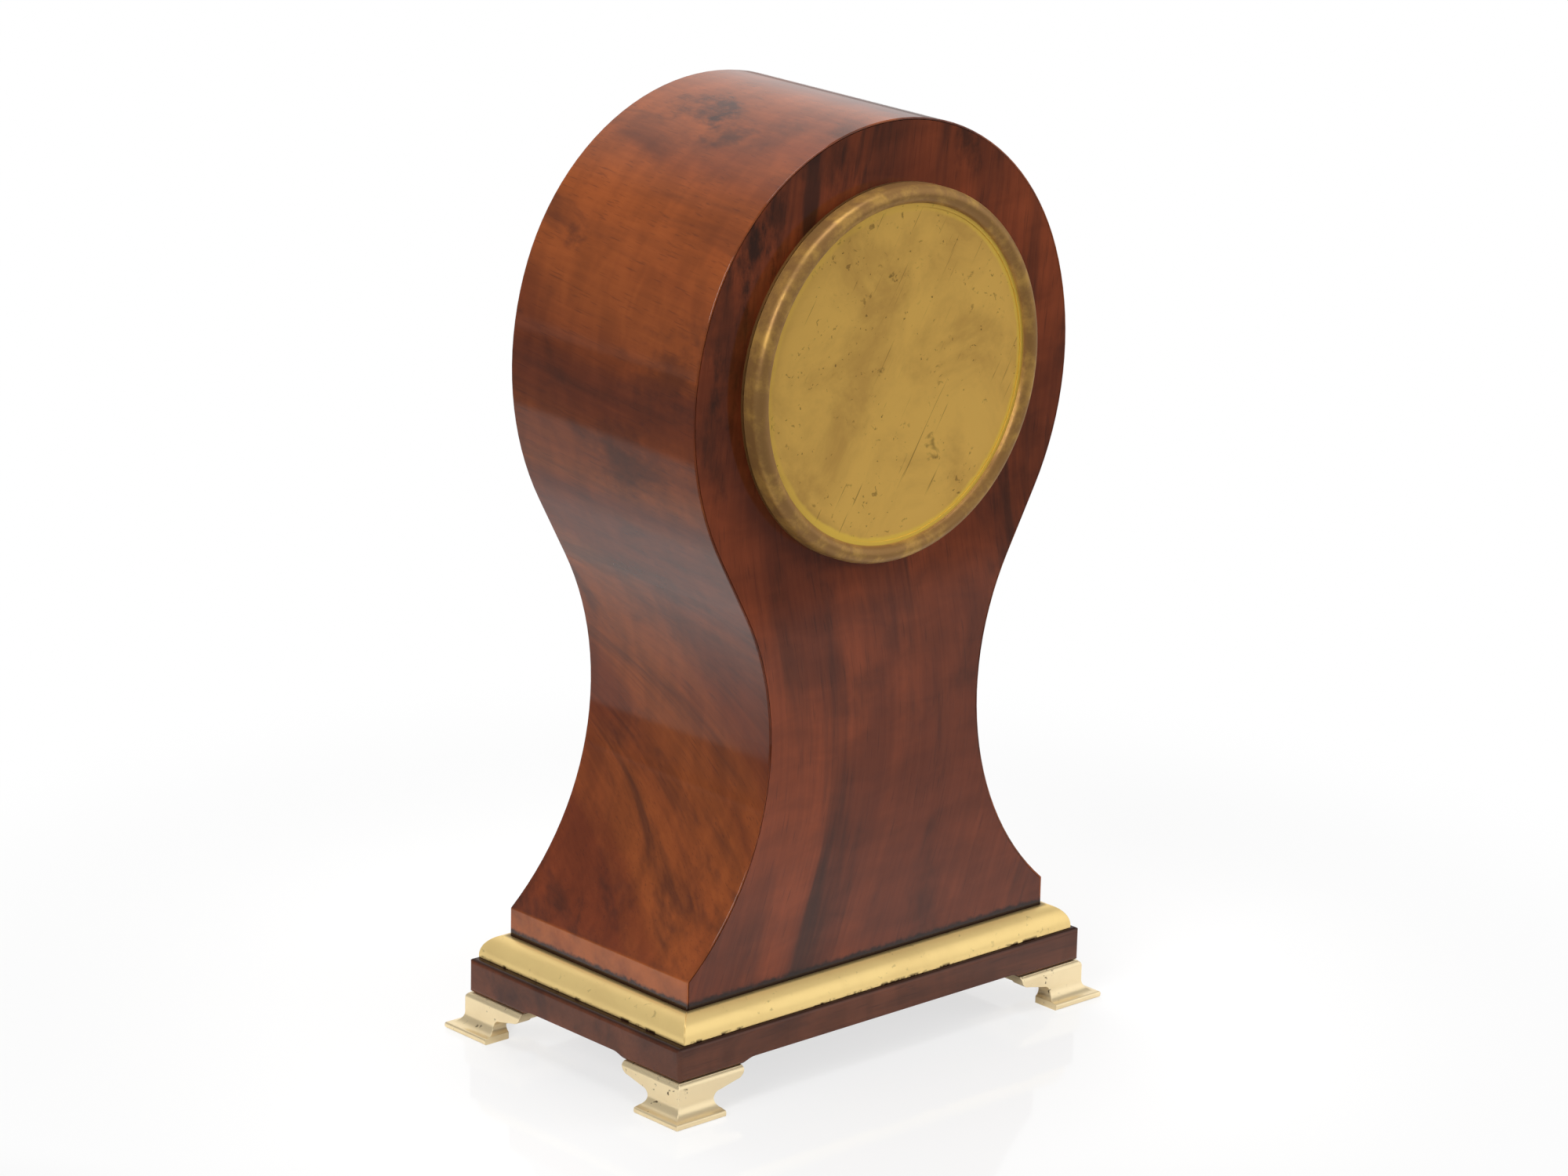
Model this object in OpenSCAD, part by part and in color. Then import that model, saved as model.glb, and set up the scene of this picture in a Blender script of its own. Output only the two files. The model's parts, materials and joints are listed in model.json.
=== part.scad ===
// Balloon clock: a veneered case on a plinth with brass bracket feet, and an eight-day drum movement.
// Z is up, the dial faces -Y, and the origin is on the table under the middle of the feet.

/* [Case] */
// Width of the case at its base
case_w = 126.4; // [110:0.2:150]
// Depth of the case from front face to back face
case_d = 70.5; // [66:0.5:80]
// Height of the case above the plinth
case_h = 230.1; // [222:0.1:240]
// Radius of the round top
head_r = 63.8; // [60:0.1:66]
// Radius of the shoulders under the round top
shoulder_r = 76.9; // [72:0.1:82]
// Angle above the horizontal where the shoulder takes over from the top
shoulder_a = 20.5; // [15:0.5:26]
// Half the width of the case at its waist
waist_half = 36.7; // [33:0.1:40]
// Height of the waist above the plinth
waist_up = 71.7; // [66:0.1:76]
// Height of the upright land at the foot of each side, above the plinth
land_up = 14.2; // [10:0.1:20]
// Length of the straight stretch between the shoulder and the hollow
flank_l = 18.8; // [10:0.1:24]
// Thickness of the bent side band
band_t = 6; // [4:0.5:8]
// Width of the veneer lip that covers the edges of the front and back boards
lip_t = 0.6; // [0.5:0.1:1.5]
// Thickness of the front and back boards
panel_t = 8; // [6:0.5:10]
// Thickness of the board that closes the case underneath
floor_t = 8; // [6:0.5:12]

/* [Base] */
// Width of the plinth slab
plinth_w = 143.1; // [138:0.1:160]
// Depth of the plinth slab
plinth_d = 84.5; // [83:0.1:96]
// Thickness of the plinth slab
plinth_t = 9.5; // [8:0.1:14]
// Rounding of the plinth's edges
plinth_r = 1.5; // [0.5:0.1:2]
// Height of the shallow arch under each edge of the plinth, between the feet
arch_h = 1.6; // [0.8:0.1:2.4]
// Reach of the brass quarter-round moulding out from the case
moulding_w = 5.9; // [4:0.1:6]
// Straight lip under the quarter round
moulding_lip = 0.6; // [0.4:0.1:1.5]
// Height of the bracket feet
foot_h = 10.4; // [9:0.1:14]
// Length of each wing of a foot at the top
foot_l = 21.5; // [20:0.5:26]
// Wall of a foot
foot_t = 3.4; // [2.5:0.1:4.5]
// Reach of a foot's toe past the plinth
foot_toe = 4.4; // [3.5:0.1:5.5]
// Radius of the hollow in a foot's face
foot_hollow = 3.2; // [3:0.1:3.6]
// Length of each wing at its narrow waist
foot_waist = 11; // [9:0.1:13]
// Radius of the lobe at the end of each wing
foot_lobe = 2.6; // [2:0.1:3]
// Radius of the bracket curve at the waist
bracket_r = 2.2; // [1.8:0.1:2.4]

/* [Dial and bezel] */
// Height of the dial's centre below the centre of the round top
dial_drop = 1.6; // [0:0.1:4]
// Radius of the enamel dial
dial_r = 43.6; // [42.5:0.1:44]
// Radius of the bezel
bezel_r = 50.8; // [49.5:0.1:52]
// Depth of the hinged bezel ring
bezel_d = 4.9; // [4:0.1:6]
// Height of the domed glass at its middle
glass_rise = 4.3; // [3:0.1:5]
// Thickness of the glass
glass_t = 1.6; // [1.2:0.1:2]
// Length of the minute hand
minute_hand_l = 35; // [30:0.5:37]
// Length of the hour hand
hour_hand_l = 24; // [20:0.5:27]

/* [Back cover] */
// Radius of the push-fit cover
cover_r = 49.1; // [48.5:0.1:50.5]
// Width of the cover's round bead
bead_w = 4.8; // [4:0.1:5.6]
// How far the bead stands out from the back of the case
cover_h = 6.5; // [5.8:0.05:7]
// How far the flat of the cover lies under the top of the bead
cover_dip = 2.1; // [1.6:0.05:2.4]
// Thickness of the cover's sheet
cover_t = 0.8; // [0.6:0.1:1]
// Thickness of the fixed ring's flange on the back board
ring_t = 0.8; // [0.6:0.1:1]

/* [Movement] */
// Radius of the movement plates
plate_r = 40; // [39:0.5:41]
// Thickness of each plate
plate_t = 2; // [1.6:0.1:2.4]
// Clear space between the plates
plate_gap = 20; // [20:0.5:24]
// Radius of the circle the pillars stand on
pillar_ring = 35.5; // [35:0.1:36]
// Radius of a pillar
pillar_r = 2.5; // [2:0.1:3]
// Distance from the centre arbor down to the barrel arbor
barrel_drop = 23.5; // [23:0.1:25]
// Running clearance of a pivot in its hole, and of sliding fits
run_gap = 0.05; // [0.02:0.01:0.09]
// Clearance of a screw in its hole and between fixed pieces
fit_gap = 0.1; // [0.05:0.01:0.2]
// Radius of the train's pivots
pivot_r = 0.6; // [0.5:0.05:0.7]
// Radius of the train's arbors
arbor_r = 0.9; // [0.8:0.05:1.1]
// Thickness of the train wheels
wheel_t = 1; // [0.8:0.1:1.2]
// Module of the barrel teeth
barrel_m = 0.41; // [0.4:0.005:0.42]
// Module of the intermediate wheel
inter_m = 0.36; // [0.35:0.005:0.37]
// Module of the centre wheel
centre_m = 0.33; // [0.32:0.005:0.34]
// Module of the third wheel
third_m = 0.28; // [0.275:0.005:0.285]
// Module of the fourth wheel
fourth_m = 0.25; // [0.245:0.005:0.255]
// Distance from the centre arbor to the minute wheel
motion_d = 12; // [11.5:0.1:12.5]
// Radius of the escape wheel
escape_r = 3.4; // [3.2:0.1:3.6]
// Radius of the balance
balance_r = 6.5; // [6:0.1:6.8]
// Distance from the lever's pivot to the balance staff
lever_l = 7; // [6.8:0.1:7.4]
// Radius of the ratchet wheel
ratchet_r = 6.8; // [6:0.1:7.4]

/* [Hidden] */

$fn = 48;
round_fn = 180;
eps = 0.01;
mahogany = "#7a3a1c";
dark_mahogany = "#5a2418";
brass = "#c9a24a";
steel = "#9aa0a6";
blued = "#2b3140";
enamel = "#f4f1e6";
pane = [0.85, 0.92, 0.95, 0.4];

// Heights and depths of the case
plinth_z = foot_h;
case_z = foot_h + plinth_t;
case_front = -case_d / 2;
case_back = case_d / 2;
head_z = case_z + case_h - head_r;
dial_z = head_z - dial_drop;
waist_z = case_z + waist_up;

// Centre of the shoulder arc, the hollow that the straight flank runs into, and the hollow under the waist
shoulder_x = (head_r - shoulder_r) * cos(shoulder_a);
shoulder_z = head_z + (head_r - shoulder_r) * sin(shoulder_a);
shoulder_in = waist_half - shoulder_x;
shoulder_up = shoulder_z - waist_z;
hollow_r = (shoulder_in ^ 2 + shoulder_up ^ 2 - shoulder_r ^ 2 - flank_l ^ 2)
    / (2 * (shoulder_r - shoulder_in));
hollow_x = waist_half + hollow_r;
base_in = case_w / 2 - waist_half;
base_hollow_r = ((waist_up - land_up) ^ 2 + base_in ^ 2) / (2 * base_in);
base_hollow_x = waist_half + base_hollow_r;
flank_a = atan2(-shoulder_up, hollow_x - shoulder_x) + atan2(flank_l, shoulder_r + hollow_r);

// Front stack, measured along Y
sleeve_wall = 1.4;
dial_gap = 1.4;
sleeve_in = dial_r + dial_gap;
sleeve_out = sleeve_in + sleeve_wall;
shoulder_seat = 3;
shoulder_ring_in = plate_r - shoulder_seat;
shoulder_ring_t = 2;
sleeve_d = 9.25;
flange_t = 1.6;
flange_y = case_front - flange_t;
door_gap = 0.1;
door_y = flange_y - door_gap;
hinge_knuckle_r = 1.6;
hinge_pin_r = 0.7;
hinge_out = 2.2;
hinge_clear = 0.25;
hinge_x = bezel_r + hinge_out;
hinge_y = case_front - hinge_knuckle_r - hinge_clear;
hinge_leaf_t = 1.4;
hinge_leaf_in = 1.5;
knuckle_l = 5;
knuckle_gap = 0.2;
glass_over = 0.8;
glass_hold = 1.2;
glass_r = dial_r + glass_over;
sight_r = glass_r - glass_hold;
door_lip = 0.7;
dial_t = 1.2;
dial_back_t = 0.8;
dial_proud = 1.15;
dial_front_y = case_front - dial_proud;
dial_back_y = dial_front_y + dial_t;

// Movement levels along Y
front_plate_y = case_front + sleeve_d;
gap_y = front_plate_y + plate_t;
back_plate_y = gap_y + plate_gap;
rear_y = back_plate_y + plate_t;
end_shake = 0.1;

// Teeth of the train and the places of its arbors, from the centre arbor
barrel_n = 90;
inter_pinion_n = 12;
inter_n = 72;
centre_pinion_n = 12;
centre_n = 80;
third_pinion_n = 10;
third_n = 75;
fourth_pinion_n = 10;
fourth_n = 80;
escape_pinion_n = 8;
escape_n = 15;
cannon_n = 12;
minute_n = 36;
minute_pinion_n = 10;
hour_n = 40;
cannon_m = 2 * motion_d / (cannon_n + minute_n);
hour_m = 2 * motion_d / (minute_pinion_n + hour_n);
function reach(a, b, m) = (a + b) * m / 2;
barrel_reach = reach(barrel_n, inter_pinion_n, barrel_m);
inter_reach = reach(inter_n, centre_pinion_n, inter_m);
third_reach = reach(centre_n, third_pinion_n, centre_m);
fourth_reach = reach(third_n, fourth_pinion_n, third_m);
escape_reach = reach(fourth_n, escape_pinion_n, fourth_m);
inter_down = (inter_reach ^ 2 - barrel_reach ^ 2 + barrel_drop ^ 2) / (2 * barrel_drop);
third_a = 135;
fourth_a = 60;
centre_at = [0, 0];
barrel_at = [0, -barrel_drop];
inter_at = [sqrt(inter_reach ^ 2 - inter_down ^ 2), -inter_down];
third_at = third_reach * [cos(third_a), sin(third_a)];
fourth_at = third_at + fourth_reach * [cos(fourth_a), sin(fourth_a)];
escape_at = fourth_at + [escape_reach, 0];
minute_at = [-motion_d, 0];
pallet_a = 30;
stone_gap = 0.3;
stone_half = 0.35;
lever_at = escape_at + [(escape_r + stone_gap) / cos(pallet_a) + stone_half, 0];
balance_at = lever_at + [lever_l, 0];

// Levels of the wheels between the plates, each from the front plate's inner face
barrel_up = 1.4;
barrel_h = 9.2;
barrel_teeth_t = 1.8;
barrel_wall = 0.9;
barrel_rim = 1.85;
drum_r = barrel_n * barrel_m / 2 - barrel_rim;
barrel_arbor_r = 1.6;
third_level = 4;
wheel_clear = 1.6;
centre_step = 3.4;
inter_level = barrel_up + barrel_h + wheel_clear;
centre_level = inter_level + centre_step;
fourth_level = plate_gap - wheel_clear;
pinion_over = 0.8;

// Hands and motion work, ahead of the front plate
centre_pivot_r = 1.2;
centre_arbor_r = 1.5;
centre_front_r = 1;
pivot_over = 0.6;
cannon_r = 1.6;
cannon_nose_r = 1.3;
hour_pipe_r = 2.4;
cannon_level = 1.4;
hour_level = 3.8;
motion_t = 1.2;
hand_t = 0.5;
hour_hand_lift = 1.3;
hand_step = 1.5;
hour_hand_y = dial_front_y - hour_hand_lift;
minute_hand_y = hour_hand_y - hand_step;
nut_t = 1;

// Platform behind the back plate
platform_t = 1.6;
platform_y = rear_y + platform_t;
escape_level = 1.3;
escape_t = 0.5;
bridge_level = 3.6;
bridge_t = 1;
bridge_edge = 0.6;
balance_level = 5.8;
balance_t = 1.2;
spring_level = 7.6;
spring_t = 0.5;
cock_level = 9;
cock_t = 1.2;
index_t = 0.5;
index_post_r = 1;
staff_r = 0.5;
staff_pivot_r = 0.25;
staff_sink = 0.4;
escape_arbor_r = 0.675;
impulse_r = 1.5;
impulse_pin_r = 0.22;
spoke_angles = [0, 60, 120];
cock_foot_gap = 0.8;
cock_foot_w = 2.4;

// Fasteners
screw_r = 1.4;
screw_head_r = 2.7;
screw_head_t = 1.6;
plate_screw_r = 0.9;
plate_screw_head_r = 1.9;
plate_screw_head_t = 1.3;
slot_w = 0.5;
pillar_angles = [20, 120, 200, 320];
ring_screw_angles = [60, 150, 230, 350];
ring_screw_ring = (shoulder_ring_in + plate_r) / 2;
strap_clear = 1.2;
strap_in = plate_r + strap_clear;
strap_t = 1.2;
head_clear = 0.2;
strap_foot_x = strap_in + strap_t + plate_screw_head_r + head_clear;
strap_w = 8;
strap_foot_t = 1.2;
cover_in = cover_r - bead_w;
ring_sleeve_out = cover_in;
ring_sleeve_in = ring_sleeve_out - sleeve_wall;
lug_t = 1.4;
lug_in = 6.2;
lug_y = case_back - lug_in;

// Extrudes a shape drawn in X and Z from one depth to another.
module slab(y0, y1) {
    translate([0, y1, 0]) rotate([90, 0, 0]) linear_extrude(y1 - y0) children();
}

// Turns a profile of radius and depth about an axis along Y through [x, z].
module turned(x, z) {
    translate([x, 0, z]) rotate([-90, 0, 0]) rotate_extrude($fn = round_fn) children();
}

// A rod along Y between two depths, at a place in the movement.
module rod(at, r, y0, y1) {
    translate([at[0], y0, dial_z + at[1]]) rotate([-90, 0, 0]) cylinder(r = r, h = y1 - y0);
}

// Moves a flat shape to a place in the movement.
module placed(at) {
    translate([at[0], dial_z + at[1]]) children();
}

function polar(r, a) = [r * cos(a), r * sin(a)];

// The front outline of the case, drawn in by an inset.
module balloon2d(inset = 0) {
    sr = shoulder_r - inset;
    hr = hollow_r + inset;
    base_hr = base_hollow_r + inset;
    half = case_w / 2 - inset;
    waist = waist_half - inset;
    join_z = head_z + (head_r - inset) * sin(shoulder_a);
    upper = [shoulder_x, shoulder_z] + polar(sr, flank_a);
    lower = [hollow_x, waist_z] - polar(hr, flank_a);
    land_z = waist_z - sqrt(base_hr ^ 2 - (base_hollow_x - half) ^ 2);
    translate([0, head_z]) circle(head_r - inset, $fn = round_fn);
    intersection() {
        translate([shoulder_x, shoulder_z]) circle(sr, $fn = round_fn);
        translate([-shoulder_x, shoulder_z]) circle(sr, $fn = round_fn);
        translate([-case_w, upper[1] - flank_l]) square([2 * case_w, join_z - upper[1] + flank_l]);
    }
    difference() {
        polygon([[-half, case_z], [half, case_z], [half, land_z], [waist, waist_z], lower, upper,
            [-upper[0], upper[1]], [-lower[0], lower[1]], [-waist, waist_z], [-half, land_z]]);
        for (side = [-1, 1]) {
            intersection() {
                translate([side * hollow_x, waist_z]) circle(hr, $fn = round_fn);
                translate([-case_w, waist_z]) square([2 * case_w, case_h]);
            }
            intersection() {
                translate([side * base_hollow_x, waist_z]) circle(base_hr, $fn = round_fn);
                translate([-case_w, case_z]) square([2 * case_w, waist_up]);
            }
        }
    }
}

// Places children at the four corners of a rectangle.
module at_corners(x, y) {
    for (sx = [-1, 1], sy = [-1, 1]) translate([sx * x, sy * y, 0]) children();
}

// A countersunk-style screw standing up from its head.
module screw_up(r, length, head_r, head_t) {
    cylinder(r = head_r, h = head_t);
    translate([0, 0, head_t]) cylinder(r = r, h = length);
}

// Case

panel_inset = lip_t + fit_gap / 2;
base_screw_x = case_w / 4;
base_screw_y = case_d / 5;
base_screw_up = 5;
base_sink = 2;

module front_panel() {
    color(mahogany) difference() {
        slab(case_front, case_front + panel_t) balloon2d(panel_inset);
        rod([0, 0], sleeve_out + fit_gap, case_front - eps, case_front + panel_t + eps);
    }
}

module back_panel() {
    color(dark_mahogany) difference() {
        slab(case_back - panel_t, case_back) balloon2d(panel_inset);
        rod([0, 0], ring_sleeve_out + fit_gap, case_back - panel_t - eps, case_back + eps);
    }
}

module side_band() {
    color(mahogany) difference() {
        slab(case_front, case_back) balloon2d();
        slab(case_front - eps, case_back + eps) balloon2d(band_t);
        slab(case_front - eps, case_front + panel_t) balloon2d(lip_t);
        slab(case_back - panel_t, case_back + eps) balloon2d(lip_t);
    }
}

module bottom_board() {
    inner_half = case_d / 2 - panel_t - fit_gap;
    color(dark_mahogany) difference() {
        slab(-inner_half, inner_half) intersection() {
            balloon2d(band_t + fit_gap);
            translate([-case_w / 2, case_z]) square([case_w, floor_t]);
        }
        at_corners(base_screw_x, base_screw_y)
            translate([0, 0, case_z - eps]) cylinder(r = screw_r, h = base_screw_up + fit_gap);
    }
}

// Base

foot_inset = 0.3;
foot_x = plinth_w / 2 - foot_inset;
foot_y = plinth_d / 2 - foot_inset;
foot_screw_in = foot_l / 2;
foot_plate_t = 2;
arch_in = 8;
arch_r = 6;
foot_screw_up = 6;

// A rectangle about the origin with the plinth's rounding at its corners.
module rounded2d(w, h) {
    r = plinth_r;
    square([w, h - 2 * r], center = true);
    square([w - 2 * r, h], center = true);
    for (sx = [-1, 1], sy = [-1, 1]) translate([sx * (w / 2 - r), sy * (h / 2 - r)]) circle(r, $fn = 24);
}

module plinth() {
    color(dark_mahogany) difference() {
        intersection() {
            translate([0, 0, plinth_z]) linear_extrude(plinth_t) rounded2d(plinth_w, plinth_d);
            translate([0, plinth_d / 2, plinth_z + plinth_t / 2]) rotate([90, 0, 0])
                linear_extrude(plinth_d) rounded2d(plinth_w, plinth_t);
            translate([-plinth_w / 2, 0, plinth_z + plinth_t / 2]) rotate([90, 0, 90])
                linear_extrude(plinth_w) rounded2d(plinth_d, plinth_t);
        }
        for (side = [-1, 1]) {
            translate([0, side * plinth_d / 2, plinth_z]) rotate([90, 0, 0])
                linear_extrude(2 * arch_in, center = true) arch2d(foot_x);
            translate([side * plinth_w / 2, 0, plinth_z]) rotate([90, 0, 90])
                linear_extrude(2 * arch_in, center = true) arch2d(foot_y);
        }
        at_corners(foot_x - foot_screw_in, foot_y - foot_screw_in)
            translate([0, 0, plinth_z - eps]) cylinder(r = screw_r, h = foot_screw_up + fit_gap);
        at_corners(base_screw_x, base_screw_y) translate([0, 0, plinth_z - eps]) {
            cylinder(r = screw_head_r + fit_gap, h = base_sink + screw_head_t + 2 * eps);
            cylinder(r = screw_r + fit_gap, h = plinth_t + 2 * eps);
        }
    }
}

// The shallow arch under one edge of the plinth, between two feet that stand half apart from the middle.
module arch2d(half) {
    ease = sqrt(arch_r ^ 2 - (arch_r - arch_h) ^ 2);
    flat_half = half - foot_l - ease;
    translate([-flat_half, -eps]) square([2 * flat_half, arch_h + eps]);
    for (side = [-1, 1]) intersection() {
        translate([side * flat_half, arch_h - arch_r]) circle(arch_r);
        translate([side * flat_half - arch_r, -eps]) square([2 * arch_r, arch_h + eps]);
    }
}

// Section of the moulding: a quarter round above a straight lip, with the case wall at 0.
module moulding2d() {
    square([moulding_w, moulding_lip]);
    translate([0, moulding_lip]) intersection() {
        circle(moulding_w);
        square(moulding_w);
    }
}

// A strip along a wall of half length half, at distance out from the middle, mitred at both ends.
module moulding_strip(half, out) {
    longest = half + moulding_w;
    intersection() {
        translate([-longest, out, case_z]) rotate([90, 0, 90]) linear_extrude(2 * longest) moulding2d();
        translate([0, 0, case_z - eps]) linear_extrude(moulding_w + moulding_lip + 2 * eps)
            polygon([[-half, out], [half, out], [longest, out + moulding_w], [-longest, out + moulding_w]]);
    }
}

module moulding_front() { color(brass) mirror([0, 1, 0]) moulding_strip(case_w / 2, case_d / 2); }
module moulding_back() { color(brass) moulding_strip(case_w / 2, case_d / 2); }
module moulding_left() { color(brass) rotate([0, 0, 90]) moulding_strip(case_d / 2, case_w / 2); }
module moulding_right() { color(brass) rotate([0, 0, -90]) moulding_strip(case_d / 2, case_w / 2); }

// One face of a bracket foot: the ogee on the outside, the lobe and bracket curve at the inner end.
module foot2d() {
    toe = foot_toe + foot_inset;
    toe_h = 1.7;
    toe_r = 0.6;
    toe_flare = 1.1;
    toe_end = -foot_waist - toe_flare;
    crease_x = toe - toe_r - foot_hollow;
    crease_z = toe_h + foot_hollow;
    swell_r = 1.5;
    swell_z = foot_h - swell_r;
    bracket_x = -foot_waist - bracket_r;
    bracket_z = 3.8;
    lobe_drop = 0.5;
    lobe_x = -foot_l + foot_lobe;
    lobe_z = foot_h - lobe_drop;
    difference() {
        union() {
            translate([-foot_l, 0]) square([foot_l, foot_h]);
            translate([0, crease_z]) square([crease_x, swell_z - crease_z]);
            intersection() {
                translate([crease_x - swell_r, swell_z]) circle(swell_r);
                translate([0, swell_z]) square(swell_r);
            }
            difference() {
                square([toe - toe_r, crease_z]);
                translate([toe - toe_r, crease_z]) circle(foot_hollow);
            }
            translate([0, toe_r]) square([toe, toe_h - 2 * toe_r]);
            for (z = [toe_r, toe_h - toe_r]) translate([toe - toe_r, z]) circle(toe_r, $fn = 24);
        }
        translate([bracket_x, bracket_z]) circle(bracket_r);
        difference() {
            polygon([[-foot_l - eps, -eps], [-foot_l - eps, lobe_z], [lobe_x, lobe_z],
                [lobe_x, lobe_z - foot_lobe], [bracket_x, bracket_z + bracket_r], [bracket_x, bracket_z],
                [toe_end, bracket_z], [toe_end, -eps]]);
            translate([lobe_x, lobe_z]) circle(foot_lobe);
        }
    }
}

// A foot for the corner at +X and +Y.
module foot() {
    long = foot_l + 2 * foot_toe;
    translate([foot_x, foot_y, 0]) difference() {
        intersection() {
            translate([0, long, 0]) rotate([90, 0, 0]) linear_extrude(2 * long) foot2d();
            translate([-long, 0, 0]) rotate([90, 0, 90]) linear_extrude(2 * long) foot2d();
        }
        translate([-foot_l - eps, -foot_l - eps, -eps])
            cube([foot_l - foot_t + eps, foot_l - foot_t + eps, foot_h - foot_plate_t + eps]);
        translate([-foot_screw_in, -foot_screw_in, 0]) cylinder(r = screw_r + fit_gap, h = foot_h + eps);
    }
}

module foot_back_right() { color(brass) foot(); }
module foot_back_left() { color(brass) mirror([1, 0, 0]) foot(); }
module foot_front_right() { color(brass) mirror([0, 1, 0]) foot(); }
module foot_front_left() { color(brass) rotate([0, 0, 180]) foot(); }

module foot_screws() {
    color(steel) at_corners(foot_x - foot_screw_in, foot_y - foot_screw_in)
        translate([0, 0, foot_h - foot_plate_t - screw_head_t])
            screw_up(screw_r, foot_plate_t + foot_screw_up, screw_head_r, screw_head_t);
}

module base_screws() {
    color(steel) at_corners(base_screw_x, base_screw_y) translate([0, 0, plinth_z + base_sink])
        screw_up(screw_r, plinth_t - base_sink - screw_head_t + base_screw_up, screw_head_r, screw_head_t);
}

// Bezel and dial

// The three knuckles of the bezel's hinge: the middle one swings with the door.
module knuckle(z0, z1) {
    translate([hinge_x, hinge_y, z0]) cylinder(r = hinge_knuckle_r, h = z1 - z0);
}

module hinge_leaf(z0, z1, y0, y1) {
    translate([bezel_r - hinge_leaf_in, y0, z0]) cube([hinge_out + hinge_leaf_in, y1 - y0, z1 - z0]);
}

module bezel_flange() {
    color(brass) difference() {
        union() {
            turned(0, dial_z) union() {
                translate([sleeve_in, flange_y]) square([bezel_r - sleeve_in, flange_t]);
                translate([sleeve_in, flange_y]) square([sleeve_out - sleeve_in, sleeve_d + flange_t]);
                translate([shoulder_ring_in, front_plate_y - shoulder_ring_t])
                    square([sleeve_out - shoulder_ring_in, shoulder_ring_t]);
            }
            for (z = [-1.5, 0.5]) {
                z0 = dial_z + z * knuckle_l + (z > 0 ? knuckle_gap : 0);
                z1 = dial_z + (z + 1) * knuckle_l - (z < 0 ? knuckle_gap : 0);
                knuckle(z0, z1);
                hinge_leaf(z0, z1, flange_y, case_front);
            }
        }
        translate([hinge_x, hinge_y, dial_z - 2 * knuckle_l]) cylinder(r = hinge_pin_r, h = 4 * knuckle_l);
        for (a = ring_screw_angles) rod(polar(ring_screw_ring, a), plate_screw_r,
            front_plate_y - shoulder_ring_t - eps, front_plate_y + eps);
        for (s = [-1, 1]) rod([s * strap_foot_x, 0], plate_screw_r,
            front_plate_y - shoulder_ring_t - eps, front_plate_y + eps);
    }
}

module bezel_hinge_pin() {
    color(brass) translate([hinge_x, hinge_y, dial_z - 1.5 * knuckle_l])
        cylinder(r = hinge_pin_r, h = 3 * knuckle_l);
}

module bezel_door() {
    front = door_y - bezel_d;
    edge_flat = 1.2;
    edge_r = bezel_d - edge_flat;
    thumb_w = 5;
    thumb_out = 1.6;
    thumb_in = 1;
    color(brass) difference() {
        union() {
            turned(0, dial_z) difference() {
                translate([sight_r, front]) square([bezel_r - sight_r, bezel_d]);
                translate([sight_r - eps, front + door_lip])
                    square([glass_r + fit_gap - sight_r + eps, bezel_d]);
                difference() {
                    translate([bezel_r - edge_r, front - eps]) square([edge_r + eps, edge_r + eps]);
                    translate([bezel_r - edge_r, front + edge_r]) circle(edge_r);
                }
            }
            knuckle(dial_z - knuckle_l / 2, dial_z + knuckle_l / 2);
            hinge_leaf(dial_z - knuckle_l / 2, dial_z + knuckle_l / 2, door_y - hinge_leaf_t, door_y);
            translate([-bezel_r - thumb_out, door_y - hinge_leaf_t, dial_z - thumb_w / 2])
                cube([thumb_out + thumb_in, hinge_leaf_t, thumb_w]);
        }
        translate([hinge_x, hinge_y, dial_z - knuckle_l])
            cylinder(r = hinge_pin_r + run_gap, h = 2 * knuckle_l);
    }
}

// Depth of the dome's outer face at a radius, from the front of its edge.
glass_ball = (glass_r ^ 2 + glass_rise ^ 2) / (2 * glass_rise);
function dome(r) = sqrt(glass_ball ^ 2 - r ^ 2) - (glass_ball - glass_rise);

module bezel_glass() {
    edge_y = door_y - bezel_d + door_lip + fit_gap + dome(sight_r);
    steps = 10;
    outer = [for (i = [0:steps]) let (r = glass_r * i / steps) [r, edge_y - dome(r)]];
    inner = [for (i = [steps:-1:0]) let (r = glass_r * i / steps) [r, edge_y - dome(r) + glass_t]];
    color(pane) turned(0, dial_z) polygon(concat(outer, inner));
}

winding_hole_r = 2.6;
pipe_clear = 0.4;

module dial() {
    color(enamel) difference() {
        rod([0, 0], dial_r, dial_front_y, dial_back_y);
        rod([0, 0], hour_pipe_r + pipe_clear, dial_front_y - eps, dial_back_y + eps);
        rod(barrel_at, winding_hole_r, dial_front_y - eps, dial_back_y + eps);
    }
}

module dial_plate() {
    foot_ring = 30;
    foot_r = 1.5;
    color(brass) {
        difference() {
            rod([0, 0], dial_r, dial_back_y, dial_back_y + dial_back_t);
            rod([0, 0], hour_pipe_r + pipe_clear, dial_back_y - eps, dial_back_y + dial_back_t + eps);
            rod(barrel_at, winding_hole_r, dial_back_y - eps, dial_back_y + dial_back_t + eps);
        }
        for (a = [45:90:315])
            rod(polar(foot_ring, a), foot_r, dial_back_y + dial_back_t, front_plate_y);
    }
}

// Hands

minutes_past = 9;
minute_a = -6 * minutes_past;
hour_a = -30 * 10 + minute_a / 12;

hand_root_half = 0.9;
hand_tip_half = 0.5;
hour_eye_r = 2.4;
minute_eye_r = 1.9;
hour_boss = 1.6;
minute_boss = 1.4;
press_gap = fit_gap / 4;

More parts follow.
